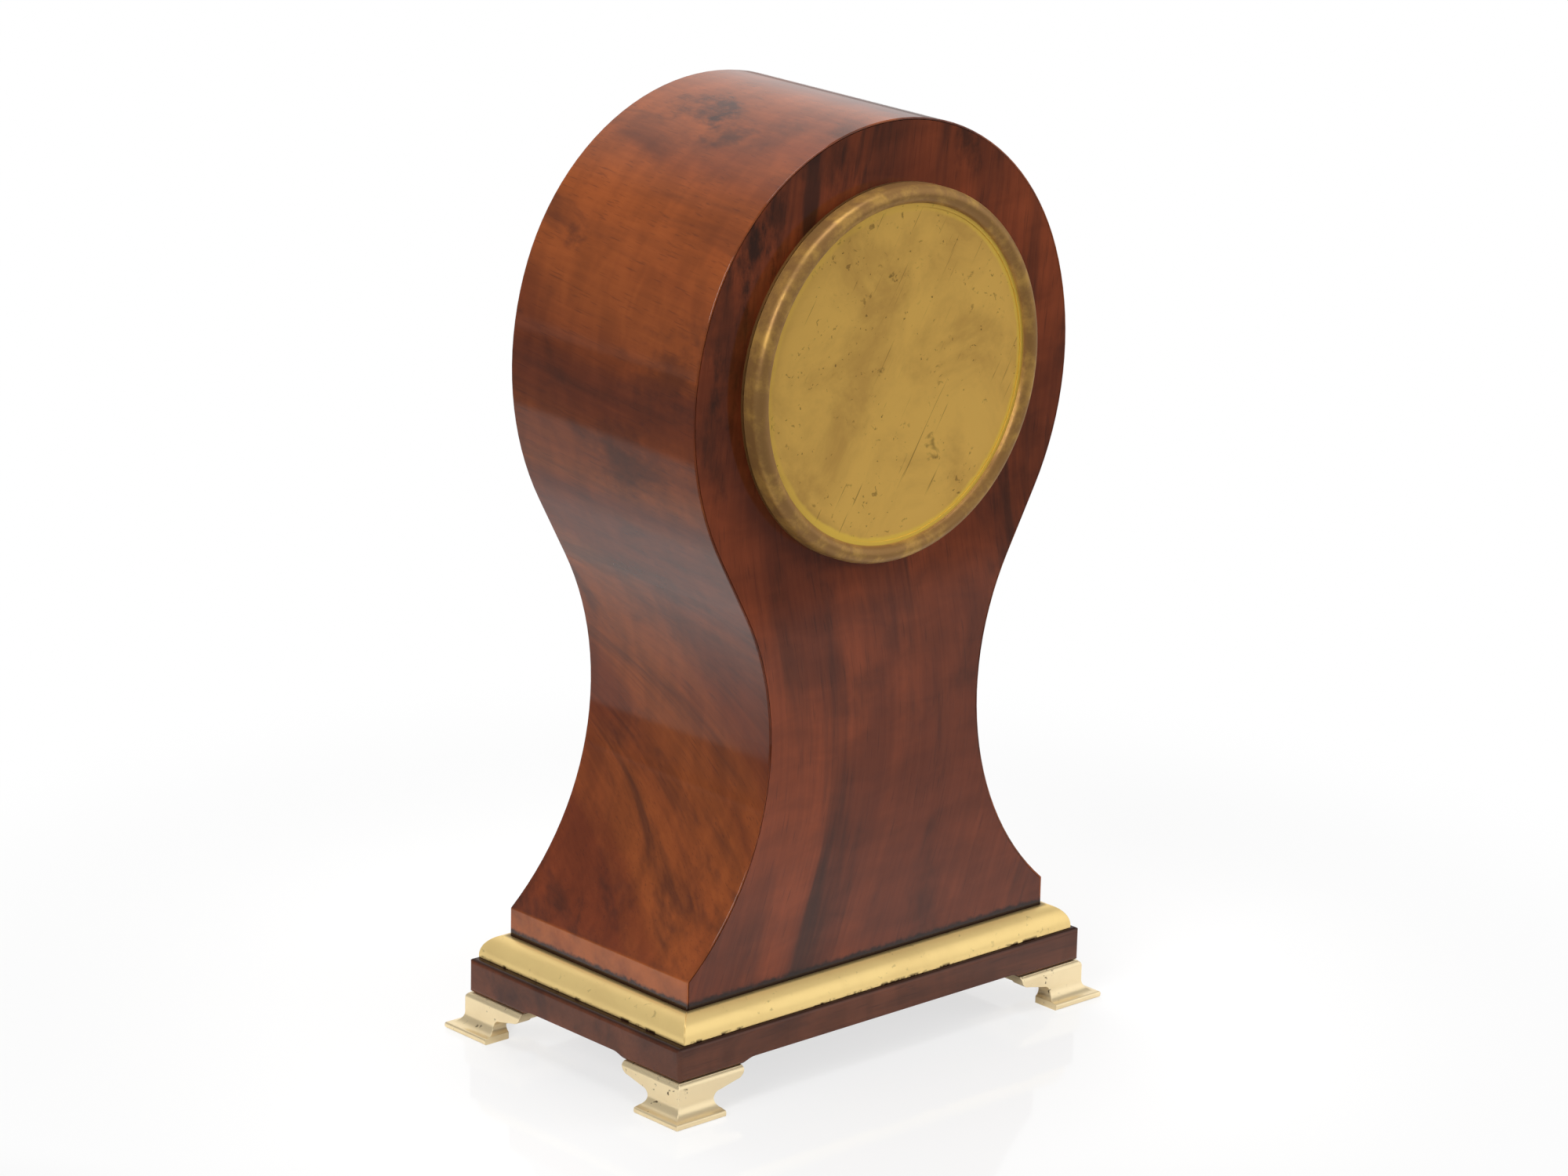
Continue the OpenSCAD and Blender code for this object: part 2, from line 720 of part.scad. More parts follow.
// A hand pointing up from the origin: a tapered blade with an eye and a point.
module hand2d(length, boss_r, bore_r, eye_r) {
    eye_at = length * 0.72;
    difference() {
        union() {
            circle(boss_r);
            polygon([[-hand_root_half, 0], [hand_root_half, 0],
                [hand_tip_half, eye_at], [-hand_tip_half, eye_at]]);
            translate([0, eye_at]) circle(eye_r);
            polygon([[-eye_r * 0.6, eye_at + eye_r * 0.7], [eye_r * 0.6, eye_at + eye_r * 0.7], [0, length]]);
        }
        circle(bore_r);
        translate([0, eye_at + eye_r * 0.15]) circle(eye_r * 0.55, $fn = 24);
    }
}

module hour_hand() {
    color(blued) slab(hour_hand_y, hour_hand_y + hand_t) placed(centre_at) rotate(hour_a)
        hand2d(hour_hand_l, hour_pipe_r + hour_boss, hour_pipe_r + press_gap, hour_eye_r);
}

module minute_hand() {
    color(blued) slab(minute_hand_y, minute_hand_y + hand_t) placed(centre_at) rotate(minute_a)
        hand2d(minute_hand_l, cannon_r + minute_boss, cannon_nose_r + press_gap, minute_eye_r);
}

module hand_nut() {
    nut_wall = 0.8;
    color(brass) difference() {
        rod(centre_at, cannon_nose_r + nut_wall, minute_hand_y - nut_t, minute_hand_y);
        rod(centre_at, cannon_nose_r + press_gap, minute_hand_y - nut_t - eps, minute_hand_y + eps);
    }
}

// Back ring and cover

collar_set = 2.2;
collar_t = 1;
collar_out = cover_r - collar_set;
collar_in = collar_out - collar_t;
lug_root = 0.6;
collar_h = 0.9;
bead_r = bead_w / 2;
bead_y = case_back + cover_h - bead_r;
cover_seat_gap = 0.2;
strap_screw_x = plate_r;

module back_ring() {
    color(brass) difference() {
        union() {
            turned(0, dial_z) union() {
                translate([ring_sleeve_in, case_back])
                    square([cover_r - ring_sleeve_in, ring_t]);
                translate([ring_sleeve_in, case_back - panel_t])
                    square([ring_sleeve_out - ring_sleeve_in, panel_t + ring_t]);
                translate([collar_in, case_back]) square([collar_out - collar_in, ring_t + collar_h]);
            }
            for (s = [-1, 1]) translate([s * strap_screw_x, lug_y + lug_t / 2, dial_z])
                cube([2 * (ring_sleeve_in + lug_root - strap_screw_x), lug_t, strap_w], center = true);
        }
        for (s = [-1, 1])
            rod([s * strap_screw_x, 0], plate_screw_r + fit_gap, lug_y - eps, lug_y + lug_t + eps);
    }
}

module back_cover() {
    disc_top = case_back + cover_h - cover_dip;
    line_w = 0.9;
    line_h = 0.25;
    bead_root = 0.8;
    color(brass) turned(0, dial_z) difference() {
        union() {
            translate([0, disc_top - cover_t]) square([cover_in + bead_root, cover_t]);
            translate([cover_in - line_w, disc_top - cover_t]) square([line_w + bead_root, cover_t + line_h]);
            intersection() {
                translate([cover_r - bead_r, bead_y]) circle(bead_r);
                translate([cover_in, bead_y]) square(bead_w);
            }
            translate([collar_out + run_gap, case_back + ring_t + cover_seat_gap])
                square([cover_r - collar_out - run_gap, bead_y - case_back - ring_t - cover_seat_gap + eps]);
        }
        translate([cover_in - bead_w, case_back]) square([bead_w, disc_top - cover_t - case_back]);
    }
}

module movement_straps() {
    strap_end = 2.6;
    color(brass) for (s = [-1, 1]) mirror([s < 0 ? 1 : 0, 0, 0]) difference() {
        translate([0, 0, dial_z - strap_w / 2]) union() {
            translate([strap_in, front_plate_y, 0]) cube([strap_t, lug_y - front_plate_y, strap_w]);
            translate([strap_in, front_plate_y, 0]) cube([sleeve_out - strap_in, strap_foot_t, strap_w]);
            translate([strap_screw_x - strap_end, lug_y - strap_foot_t, 0])
                cube([strap_in + strap_t - strap_screw_x + strap_end, strap_foot_t, strap_w]);
        }
        rod([strap_foot_x, 0], plate_screw_r + fit_gap, front_plate_y - eps,
            front_plate_y + strap_foot_t + eps);
        rod([strap_screw_x, 0], plate_screw_r, lug_y - strap_foot_t - eps, lug_y + eps);
    }
}

// A screw along Y with its head behind the depth y.
module screw_back(at, y, length) {
    rod(at, plate_screw_r, y - length, y);
    difference() {
        rod(at, plate_screw_head_r, y, y + plate_screw_head_t);
        placed_slot = [at[0], y + plate_screw_head_t, dial_z + at[1]];
        translate(placed_slot) cube([slot_w, 2 * slot_w, 4 * plate_screw_head_r], center = true);
    }
}

module strap_screws() {
    color(steel) for (s = [-1, 1]) {
        screw_back([s * strap_foot_x, 0], front_plate_y + strap_foot_t, strap_foot_t + shoulder_ring_t);
        screw_back([s * strap_screw_x, 0], lug_y + lug_t, lug_t + strap_foot_t);
    }
}

// Movement frame

pillar_bore_h = 4;
click_reach = 11.5;
click_a = 20;
click_tip_a = 58;
click_at = barrel_at + polar(click_reach, click_a);
click_tip = barrel_at + polar(ratchet_r + 0.15, click_tip_a);
click_level = 0.4;
click_t = 1.2;
spring_root_at = [2.2, 7];
spring_tip_at = [-4.6, 2.75];
spring_root = click_at + spring_root_at;
spring_tip = click_at + spring_tip_at;
platform_end = 7;
platform_half = 8;
platform_edge = 0.4;
platform_low = escape_at - [platform_end, platform_half];
platform_high = balance_at + [balance_r + cock_foot_gap + cock_foot_w + platform_edge, platform_half];
platform_screw_in = 1.9;
platform_screw_places = [platform_low + [platform_screw_in, platform_screw_in],
    [platform_low[0] + platform_screw_in, platform_high[1] - platform_screw_in],
    [platform_high[0] - platform_screw_in, platform_low[1] + platform_screw_in],
    platform_high - [platform_screw_in, platform_screw_in]];
escape_clear_r = 1.7;
minute_post_r = 1;

// The holes that both plates share.
module plate_holes(y) {
    for (at = [inter_at, third_at, fourth_at]) rod(at, pivot_r + run_gap, y - eps, y + plate_t + eps);
    rod(barrel_at, barrel_arbor_r + run_gap, y - eps, y + plate_t + eps);
}

module front_plate() {
    post_over = 0.6;
    color(brass) {
        difference() {
            rod(centre_at, plate_r, front_plate_y, gap_y);
            plate_holes(front_plate_y);
            rod(centre_at, centre_pivot_r + run_gap, front_plate_y - eps, gap_y + eps);
            rod(escape_at, pivot_r + run_gap, front_plate_y - eps, gap_y + eps);
            for (a = ring_screw_angles)
                rod(polar(ring_screw_ring, a), plate_screw_r + fit_gap, front_plate_y - eps, gap_y + eps);
        }
        rod(minute_at, minute_post_r, front_plate_y - hour_level - motion_t - post_over, front_plate_y);
    }
}

module back_plate() {
    color(brass) difference() {
        rod(centre_at, plate_r, back_plate_y, rear_y);
        plate_holes(back_plate_y);
        rod(centre_at, pivot_r + run_gap, back_plate_y - eps, rear_y + eps);
        rod(escape_at, escape_clear_r, back_plate_y - eps, rear_y + eps);
        for (a = pillar_angles)
            rod(polar(pillar_ring, a), plate_screw_r + fit_gap, back_plate_y - eps, rear_y + eps);
        for (at = concat(platform_screw_places, [click_at, spring_root]))
            rod(at, plate_screw_r, back_plate_y - eps, rear_y + eps);
    }
}

module pillars() {
    hollow = 0.6;
    pillar_hollow_r = 12;
    color(brass) for (a = pillar_angles) difference() {
        at = polar(pillar_ring, a);
        turned(at[0], dial_z + at[1]) difference() {
            translate([0, gap_y]) square([pillar_r, plate_gap]);
            translate([pillar_r + pillar_hollow_r - hollow, gap_y + plate_gap / 2])
                circle(pillar_hollow_r, $fn = 96);
        }
        rod(at, plate_screw_r, back_plate_y - pillar_bore_h, back_plate_y + eps);
    }
}

module plate_screws() {
    color(steel) {
        for (a = pillar_angles) screw_back(polar(pillar_ring, a), rear_y, plate_t + pillar_bore_h - fit_gap);
        for (a = ring_screw_angles) screw_back(polar(ring_screw_ring, a), gap_y, plate_t + shoulder_ring_t);
    }
}

// Gears

// Tooth outline as [radius offset, thickness], both in modules: foot, pitch line and tip.
wheel_tooth = [[-1.1, 1.5], [0, 1.35], [0.9, 0.5]];
pinion_tooth = [[-1.2, 1.05], [0, 1.2], [0.8, 0.5]];

module gear2d(n, m, tooth, phase) {
    half = [for (p = tooth) let (r = n * m / 2 + p[0] * m) [r, p[1] * m / 2 / r * 180 / PI]];
    flank = concat([for (p = half) [p[0], -p[1]]], [for (i = [len(half) - 1:-1:0]) half[i]]);
    polygon([for (i = [0:n - 1], p = flank) polar(p[0], phase + 360 * i / n + p[1])]);
}

// Angle from one place to another.
function bearing(a, b) = atan2(b[1] - a[1], b[0] - a[0]);

// A crossed-out wheel with a tooth towards the place it drives.
module wheel(at, towards, n, m, y, t, crossings = 4) {
    hub_r = 2.6;
    rim_r = n * m / 2 - 2.9 * m;
    spoke_w = 1.3;
    slab(y, y + t) placed(at) difference() {
        gear2d(n, m, wheel_tooth, bearing(at, towards));
        difference() {
            circle(rim_r);
            circle(hub_r);
            for (i = [0:crossings - 1]) rotate(360 / crossings * (i + 0.5))
                translate([0, -spoke_w / 2]) square([rim_r + spoke_w, spoke_w]);
        }
    }
}

// A pinion with a gap towards the wheel that drives it.
module pinion(at, towards, n, m, y0, y1) {
    slab(y0, y1) placed(at) gear2d(n, m, pinion_tooth, bearing(at, towards) + 180 / n);
}

module arbor(at) {
    rod(at, arbor_r, gap_y + end_shake, back_plate_y - end_shake);
    rod(at, pivot_r, front_plate_y, rear_y);
}

// A flat strip wound from one radius to another, as an outline.
module spiral2d(r0, r1, turns, t) {
    steps = turns * 20;
    function at(i, off) = polar(r0 + (r1 - r0) * i / steps + off, 360 * turns * i / steps);
    polygon(concat([for (i = [0:steps]) at(i, t / 2)], [for (i = [steps:-1:0]) at(i, -t / 2)]));
}

// Power

barrel_y = gap_y + barrel_up;
barrel_top = barrel_y + barrel_h;
barrel_core_r = 4;
winding_square = 2.2;

module barrel() {
    color(brass) difference() {
        union() {
            rod(barrel_at, drum_r, barrel_y, barrel_top);
            slab(barrel_y, barrel_y + barrel_teeth_t) placed(barrel_at)
                gear2d(barrel_n, barrel_m, wheel_tooth, bearing(barrel_at, inter_at));
        }
        rod(barrel_at, drum_r - barrel_wall, barrel_y + barrel_wall, barrel_top + eps);
        rod(barrel_at, barrel_arbor_r + run_gap, barrel_y - eps, barrel_top);
    }
}

module barrel_cover() {
    color(brass) difference() {
        rod(barrel_at, drum_r - barrel_wall - press_gap, barrel_top - barrel_wall, barrel_top);
        rod(barrel_at, barrel_arbor_r + run_gap, barrel_y, barrel_top + eps);
    }
}

module mainspring() {
    turns = 9;
    strip_t = 0.45;
    side_gap = 0.3;
    core_gap = 0.7;
    color(steel) slab(barrel_y + barrel_wall + side_gap, barrel_top - barrel_wall - side_gap)
        placed(barrel_at) spiral2d(barrel_core_r + core_gap, drum_r - barrel_wall - strip_t, turns, strip_t);
}

module barrel_arbor() {
    square_over = 0.6;
    round_front_y = front_plate_y - 1;
    ratchet_y = rear_y + click_level;
    squares = [[dial_front_y - square_over, round_front_y], [ratchet_y, ratchet_y + click_t + square_over]];
    color(steel) {
        rod(barrel_at, barrel_arbor_r, round_front_y, ratchet_y);
        rod(barrel_at, barrel_core_r, barrel_y + barrel_wall + end_shake,
            barrel_top - barrel_wall - end_shake);
        for (span = squares) slab(span[0], span[1]) placed(barrel_at) square(winding_square, center = true);
    }
}

module ratchet_wheel() {
    teeth = 24;
    tooth_h = 1;
    tooth = [[ratchet_r - tooth_h, 0], [ratchet_r, 2]];
    y = rear_y + click_level;
    color(steel) slab(y, y + click_t) placed(barrel_at) difference() {
        polygon([for (i = [0:teeth - 1], p = tooth) polar(p[0], (i + 0.5) * 360 / teeth + p[1])]);
        square(winding_square + press_gap, center = true);
    }
}

module click() {
    boss_r = 1.9;
    arm_half = 0.9;
    beak_l = 1.1;
    run = bearing(click_at, click_tip);
    side = polar(arm_half, run + 90);
    y = rear_y + click_level;
    color(steel) difference() {
        union() {
            rod(click_at, boss_r, y, y + click_t);
            slab(y, y + click_t) translate([0, dial_z])
                polygon([click_at + side, click_tip, click_tip - polar(beak_l, run) - side, click_at - side]);
        }
        rod(click_at, plate_screw_r + run_gap, y - eps, y + click_t + eps);
    }
}

module click_spring() {
    boss_r = 1.9;
    blade_half = 0.18;
    run = bearing(spring_root, spring_tip);
    side = polar(blade_half, run + 90);
    color(steel) slab(rear_y, rear_y + click_level + click_t) difference() {
        union() {
            placed(spring_root) circle(boss_r);
            translate([0, dial_z])
                polygon([spring_root + side, spring_root - side, spring_tip - side, spring_tip + side]);
        }
        placed(spring_root) circle(plate_screw_r + fit_gap);
    }
}

module click_screw() {
    under_head = click_level + click_t;
    color(steel) {
        screw_back(click_at, rear_y + under_head + end_shake, under_head + end_shake + plate_t);
        screw_back(spring_root, rear_y + under_head, under_head + plate_t);
        difference() {
            rod(click_at, plate_screw_head_r, rear_y, rear_y + click_level - end_shake);
            rod(click_at, plate_screw_r, rear_y - eps, rear_y + click_level);
        }
    }
}

// Going train

module intermediate_wheel() {
    color(brass) {
        arbor(inter_at);
        pinion(inter_at, barrel_at, inter_pinion_n, barrel_m, barrel_y - pinion_over,
            barrel_y + barrel_teeth_t + pinion_over);
        wheel(inter_at, centre_at, inter_n, inter_m, gap_y + inter_level, wheel_t);
    }
}

module centre_wheel() {
    color(brass) {
        rod(centre_at, centre_pivot_r, front_plate_y - pivot_over, gap_y + end_shake);
        rod(centre_at, centre_arbor_r, gap_y + end_shake, back_plate_y - end_shake);
        rod(centre_at, centre_front_r, minute_hand_y - nut_t / 2, front_plate_y);
        rod(centre_at, pivot_r, back_plate_y - end_shake, rear_y);
        pinion(centre_at, inter_at, centre_pinion_n, inter_m, gap_y + inter_level - pinion_over,
            gap_y + inter_level + wheel_t + pinion_over);
        wheel(centre_at, third_at, centre_n, centre_m, gap_y + centre_level, wheel_t);
    }
}

module third_wheel() {
    color(brass) {
        arbor(third_at);
        pinion(third_at, centre_at, third_pinion_n, centre_m, gap_y + centre_level - pinion_over,
            gap_y + centre_level + wheel_t + pinion_over);
        wheel(third_at, fourth_at, third_n, third_m, gap_y + third_level, wheel_t);
    }
}

module fourth_wheel() {
    color(brass) {
        arbor(fourth_at);
        pinion(fourth_at, third_at, fourth_pinion_n, third_m, gap_y + third_level - pinion_over,
            gap_y + third_level + wheel_t + pinion_over);
        wheel(fourth_at, escape_at, fourth_n, fourth_m, gap_y + fourth_level, wheel_t);
    }
}

// Platform escapement

module escape_wheel() {
    tooth_h = 0.9;
    rim_w = 0.5;
    spoke_w = 0.5;
    hub_r = 1.1;
    tooth_root = escape_r - tooth_h;
    tooth = [[tooth_root, -3], [escape_r, 5], [escape_r, 8], [tooth_root, 6]];
    y = platform_y + escape_level;
    top = platform_y + bridge_level;
    color(steel) {
        rod(escape_at, pivot_r, front_plate_y, gap_y + end_shake);
        rod(escape_at, escape_arbor_r, gap_y + end_shake, top - end_shake);
        rod(escape_at, staff_pivot_r, top - end_shake, top + bridge_t);
        pinion(escape_at, fourth_at, escape_pinion_n, fourth_m, gap_y + fourth_level - pinion_over,
            gap_y + fourth_level + wheel_t + pinion_over / 2);
        slab(y, y + escape_t) placed(escape_at) difference() {
            polygon([for (i = [0:escape_n - 1], p = tooth) polar(p[0], (i + 0.5) * 360 / escape_n + p[1])]);
            difference() {
                circle(tooth_root - rim_w);
                circle(hub_r);
                for (a = spoke_angles) rotate(a) square([2 * escape_r, spoke_w], center = true);
            }
        }
    }
}

module pallet_lever() {
    y = platform_y + escape_level;
    impulse_gap = 0.45;
    arbor = 0.45;
    boss_r = 0.9;
    bar_half = 0.3;
    horn_in = 1;
    notch_in = 0.6;
    notch_half = 0.35;
    arm_half = 0.4;
    fork_l = lever_l - impulse_r - impulse_gap;
    color(steel) {
        rod(lever_at, staff_pivot_r, rear_y + staff_sink, platform_y + bridge_level + bridge_t);
        rod(lever_at, arbor, platform_y + end_shake, platform_y + bridge_level - end_shake);
        slab(y, y + escape_t) {
            placed(lever_at) {
                circle(boss_r);
                translate([0, -bar_half]) square([fork_l, 2 * bar_half]);
                difference() {
                    translate([fork_l - horn_in, 0]) circle(boss_r, $fn = 24);
                    translate([fork_l - notch_in, -notch_half]) square([horn_in, 2 * notch_half]);
                }
            }
            for (s = [-1, 1]) {
                stone = escape_at + polar(escape_r + stone_gap, s * pallet_a);
                across = polar(stone_half, s * pallet_a + 90);
                run = bearing(stone, lever_at);
                translate([0, dial_z]) polygon([stone + across, stone - across,
                    lever_at + polar(arm_half, run - 90), lever_at + polar(arm_half, run + 90)]);
            }
        }
    }
}

module escapement_bridge() {
    foot_x0 = platform_low[0] + bridge_edge;
    foot_w = 2.2;
    bar_h = 3;
    y = platform_y + bridge_level;
    color(brass) difference() {
        union() {
            slab(y, y + bridge_t) placed([0, escape_at[1]]) {
                translate([foot_x0, -bar_h / 2]) square([lever_at[0] - foot_x0, bar_h]);
                translate([lever_at[0], 0]) circle(bar_h / 2);
            }
            slab(platform_y, y) placed([foot_x0, escape_at[1] - bar_h / 2]) square([foot_w, bar_h]);
        }
        for (at = [escape_at, lever_at]) rod(at, staff_pivot_r + run_gap, y - eps, y + bridge_t + eps);
    }
}

module balance_wheel() {
    y = platform_y + balance_level;
    rim_w = 1;
    hub_r = 1.2;
    spoke_w = 0.8;
    roller_gap = 0.5;
    roller_t = 0.6;
    roller_edge = 0.4;
    pin_over = 0.3;
    roller_y = platform_y + escape_level + escape_t + roller_gap;
    top = platform_y + cock_level;
    color(brass) {
        slab(y, y + balance_t) placed(balance_at) {
            difference() {
                circle(balance_r);
                circle(balance_r - rim_w);
            }
            circle(hub_r);
            for (a = spoke_angles) rotate(a) square([2 * balance_r - rim_w, spoke_w], center = true);
        }
        rod(balance_at, staff_r, platform_y + end_shake, top - end_shake);
        rod(balance_at, staff_pivot_r, rear_y + staff_sink, top + cock_t / 2);
        rod(balance_at, impulse_r + roller_edge, roller_y, roller_y + roller_t);
        rod(balance_at - [impulse_r, 0], impulse_pin_r, roller_y - escape_t - pin_over, roller_y);
    }
}

module balance_spring() {
    y = platform_y + spring_level;
    inner_r = 0.85;
    outer_r = 4.3;
    turns = 5;
    strip_t = 0.16;
    color(blued) slab(y, y + spring_t) placed(balance_at) spiral2d(inner_r, outer_r, turns, strip_t);
}

module balance_cock() {
    y = platform_y + cock_level;
    foot_x0 = balance_at[0] + balance_r + cock_foot_gap;
    cock_foot_h = 6.6;
    head_r = 2.6;
    arm_half = 2;
    stud_x = 4.75;
    stud_r = 0.35;
    stud_l = 1.4;
    color(brass) difference() {
        union() {
            slab(y, y + cock_t) placed(balance_at) {
                circle(head_r);
                translate([0, -arm_half]) square([balance_r + cock_foot_gap + cock_foot_w, 2 * arm_half]);
            }
            slab(platform_y, y + cock_t) placed([foot_x0, balance_at[1]])
                translate([0, -cock_foot_h / 2]) square([cock_foot_w, cock_foot_h]);
            rod(balance_at + [stud_x, 0], stud_r, y - stud_l, y);
            rod(balance_at, index_post_r, y + cock_t, y + cock_t + index_t);
        }
        rod(balance_at, staff_pivot_r + run_gap, y - eps, y + cock_t / 2 + end_shake);
    }
}

module regulator_index() {
    y = platform_y + cock_level + cock_t + run_gap;
    ring_r = 2;
    pointer_l = 7;
    root_half = 0.7;
    tip_half = 0.2;
    color(steel) difference() {
        union() {
            rod(balance_at, ring_r, y, y + index_t);
            slab(y, y + index_t) placed(balance_at)
                polygon([[-root_half, 0], [-tip_half, pointer_l], [tip_half, pointer_l], [root_half, 0]]);
        }
        rod(balance_at, index_post_r + run_gap, y - eps, y + index_t + eps);
    }
}

module platform_plate() {
    size = platform_high - platform_low;
    blind = 0.3;
    color(brass) difference() {
        slab(rear_y, platform_y) placed(platform_low) square(size);
        rod(escape_at, escape_clear_r, rear_y - eps, platform_y + eps);
        for (at = [lever_at, balance_at]) rod(at, staff_pivot_r + run_gap, rear_y + blind, platform_y + eps);
        for (at = platform_screw_places) rod(at, plate_screw_r + fit_gap, rear_y - eps, platform_y + eps);
    }
}

module platform_screws() {
    color(steel) for (at = platform_screw_places) screw_back(at, platform_y, platform_t + plate_t);
}

// Motion work

motion_over = 0.4;
cannon_tail = 0.6;
pipe_over = 0.2;

module cannon_pinion() {
    y1 = front_plate_y - cannon_level;
    nose_y = minute_hand_y + hand_t;
    color(brass) difference() {
        union() {
            rod(centre_at, cannon_r, nose_y, y1 + cannon_tail);
            rod(centre_at, cannon_nose_r, minute_hand_y - nut_t - pipe_over, nose_y);
            pinion(centre_at, minute_at, cannon_n, cannon_m, y1 - motion_t - motion_over, y1 + motion_over);
        }
        rod(centre_at, centre_front_r + run_gap, minute_hand_y - 2 * nut_t, y1 + 2 * cannon_tail);
    }
}

module minute_wheel() {
    y1 = front_plate_y - cannon_level;
    y2 = front_plate_y - hour_level;
    color(brass) difference() {
        union() {
            wheel(minute_at, centre_at, minute_n, cannon_m, y1 - motion_t, motion_t);
            pinion(minute_at, centre_at, minute_pinion_n, hour_m, y2 - motion_t - motion_over,
                y1 - motion_t + eps);
        }
        rod(minute_at, minute_post_r + run_gap, y2 - 2 * motion_t, y1 + eps);
    }
}

module hour_wheel() {
    y2 = front_plate_y - hour_level;
    color(brass) difference() {
        union() {
            wheel(centre_at, minute_at, hour_n, hour_m, y2 - motion_t, motion_t);
            rod(centre_at, hour_pipe_r, hour_hand_y - pipe_over, y2);
        }
        rod(centre_at, cannon_r + run_gap, hour_hand_y - 2 * pipe_over, y2 + eps);
    }
}

front_panel();
back_panel();
side_band();
bottom_board();
plinth();
moulding_front();
moulding_back();
moulding_left();
moulding_right();
foot_front_left();
foot_front_right();
foot_back_left();
foot_back_right();
foot_screws();
base_screws();
bezel_flange();
bezel_hinge_pin();
bezel_door();
bezel_glass();
dial();
dial_plate();
hour_hand();
minute_hand();
hand_nut();
back_ring();
back_cover();
movement_straps();
strap_screws();
front_plate();
back_plate();
pillars();
plate_screws();
barrel();
barrel_cover();
mainspring();
barrel_arbor();
ratchet_wheel();
click();
click_spring();
click_screw();
intermediate_wheel();
centre_wheel();
third_wheel();
fourth_wheel();
escape_wheel();
pallet_lever();
escapement_bridge();
balance_wheel();
balance_spring();
balance_cock();
regulator_index();
platform_plate();
platform_screws();
cannon_pinion();
minute_wheel();
hour_wheel();
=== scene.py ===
"""Balloon clock: the finish of a veneered mantel clock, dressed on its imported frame."""

import json
import math

import bmesh
import bpy
from bpy.props import FloatProperty, FloatVectorProperty, IntProperty, PointerProperty
from bpy.types import Operator, Panel, PropertyGroup
from mathutils import Matrix, Vector

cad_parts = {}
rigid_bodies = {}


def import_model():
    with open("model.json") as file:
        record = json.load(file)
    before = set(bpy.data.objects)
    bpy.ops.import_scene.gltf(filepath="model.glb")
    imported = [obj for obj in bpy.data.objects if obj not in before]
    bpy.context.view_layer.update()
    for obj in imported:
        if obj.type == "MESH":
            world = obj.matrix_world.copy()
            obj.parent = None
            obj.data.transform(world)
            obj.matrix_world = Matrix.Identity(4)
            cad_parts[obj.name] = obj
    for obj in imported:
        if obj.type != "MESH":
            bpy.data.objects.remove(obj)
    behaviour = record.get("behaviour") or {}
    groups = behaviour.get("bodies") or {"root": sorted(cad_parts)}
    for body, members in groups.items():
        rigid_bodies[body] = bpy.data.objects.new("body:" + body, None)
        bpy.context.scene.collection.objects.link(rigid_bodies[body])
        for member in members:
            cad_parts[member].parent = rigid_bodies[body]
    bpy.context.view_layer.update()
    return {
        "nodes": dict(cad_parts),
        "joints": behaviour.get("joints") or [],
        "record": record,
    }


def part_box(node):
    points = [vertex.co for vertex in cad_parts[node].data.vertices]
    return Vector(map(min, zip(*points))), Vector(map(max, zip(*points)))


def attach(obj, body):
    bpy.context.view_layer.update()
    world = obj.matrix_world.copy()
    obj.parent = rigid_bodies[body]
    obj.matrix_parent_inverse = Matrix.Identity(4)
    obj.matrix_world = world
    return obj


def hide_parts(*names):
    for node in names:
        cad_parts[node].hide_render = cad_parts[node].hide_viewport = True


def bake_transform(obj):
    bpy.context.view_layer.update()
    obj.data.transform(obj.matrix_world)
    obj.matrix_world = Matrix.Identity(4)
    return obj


bl_info = {
    "name": "Balloon Clock",
    "version": (1, 0, 0),
    "blender": (4, 5, 0),
    "location": "View3D > Sidebar > Clock",
    "description": "Dresses a balloon clock with veneer, brass, enamel and glass",
    "category": "Object",
}

for start_object in list(bpy.data.objects):
    bpy.data.objects.remove(start_object)

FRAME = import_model()
NODES = FRAME["nodes"]
BODY_OF = {node: body for body, nodes in FRAME["record"]["behaviour"]["bodies"].items()
           for node in nodes}

MM = 0.001
WELD = 0.002 * MM
UP = Vector((0, 0, 1))
DIAL_AXIS = Vector(next(j["pos_m"] for j in FRAME["joints"] if j["name"] == "minute_turn"))
CASE_BASE_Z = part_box("side_band")[0].z
MOULDING_TOP_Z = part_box("moulding_back")[1].z
PLINTH_TOP_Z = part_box("plinth")[1].z
DIAL_FRONT_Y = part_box("dial")[0].y
COVER_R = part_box("back_cover")[1].x


def srgb(red, green, blue):
    """A colour given as eight-bit screen values, in linear light."""
    def linear(value):
        share = value / 255
        return share / 12.92 if share <= 0.04045 else ((share + 0.055) / 1.055) ** 2.4
    return (linear(red), linear(green), linear(blue), 1.0)


def grey(level):
    """A grey given in linear light."""
    return (level, level, level, 1.0)


def colour_property(name, description, value):
    return FloatVectorProperty(
        name=name, description=description, subtype="COLOR", size=4, min=0, max=1, default=value)


def length_property(name, description, value):
    return FloatProperty(name=name, description=description, unit="LENGTH", min=0, default=value)


def angle_property(name, description, degrees):
    return FloatProperty(
        name=name, description=description, unit="ROTATION", default=math.radians(degrees))


def vector_property(name, description, value, subtype="XYZ"):
    return FloatVectorProperty(name=name, description=description, subtype=subtype, default=value)


def share_property(name, description, value):
    return FloatProperty(name=name, description=description, min=0, max=1, default=value)


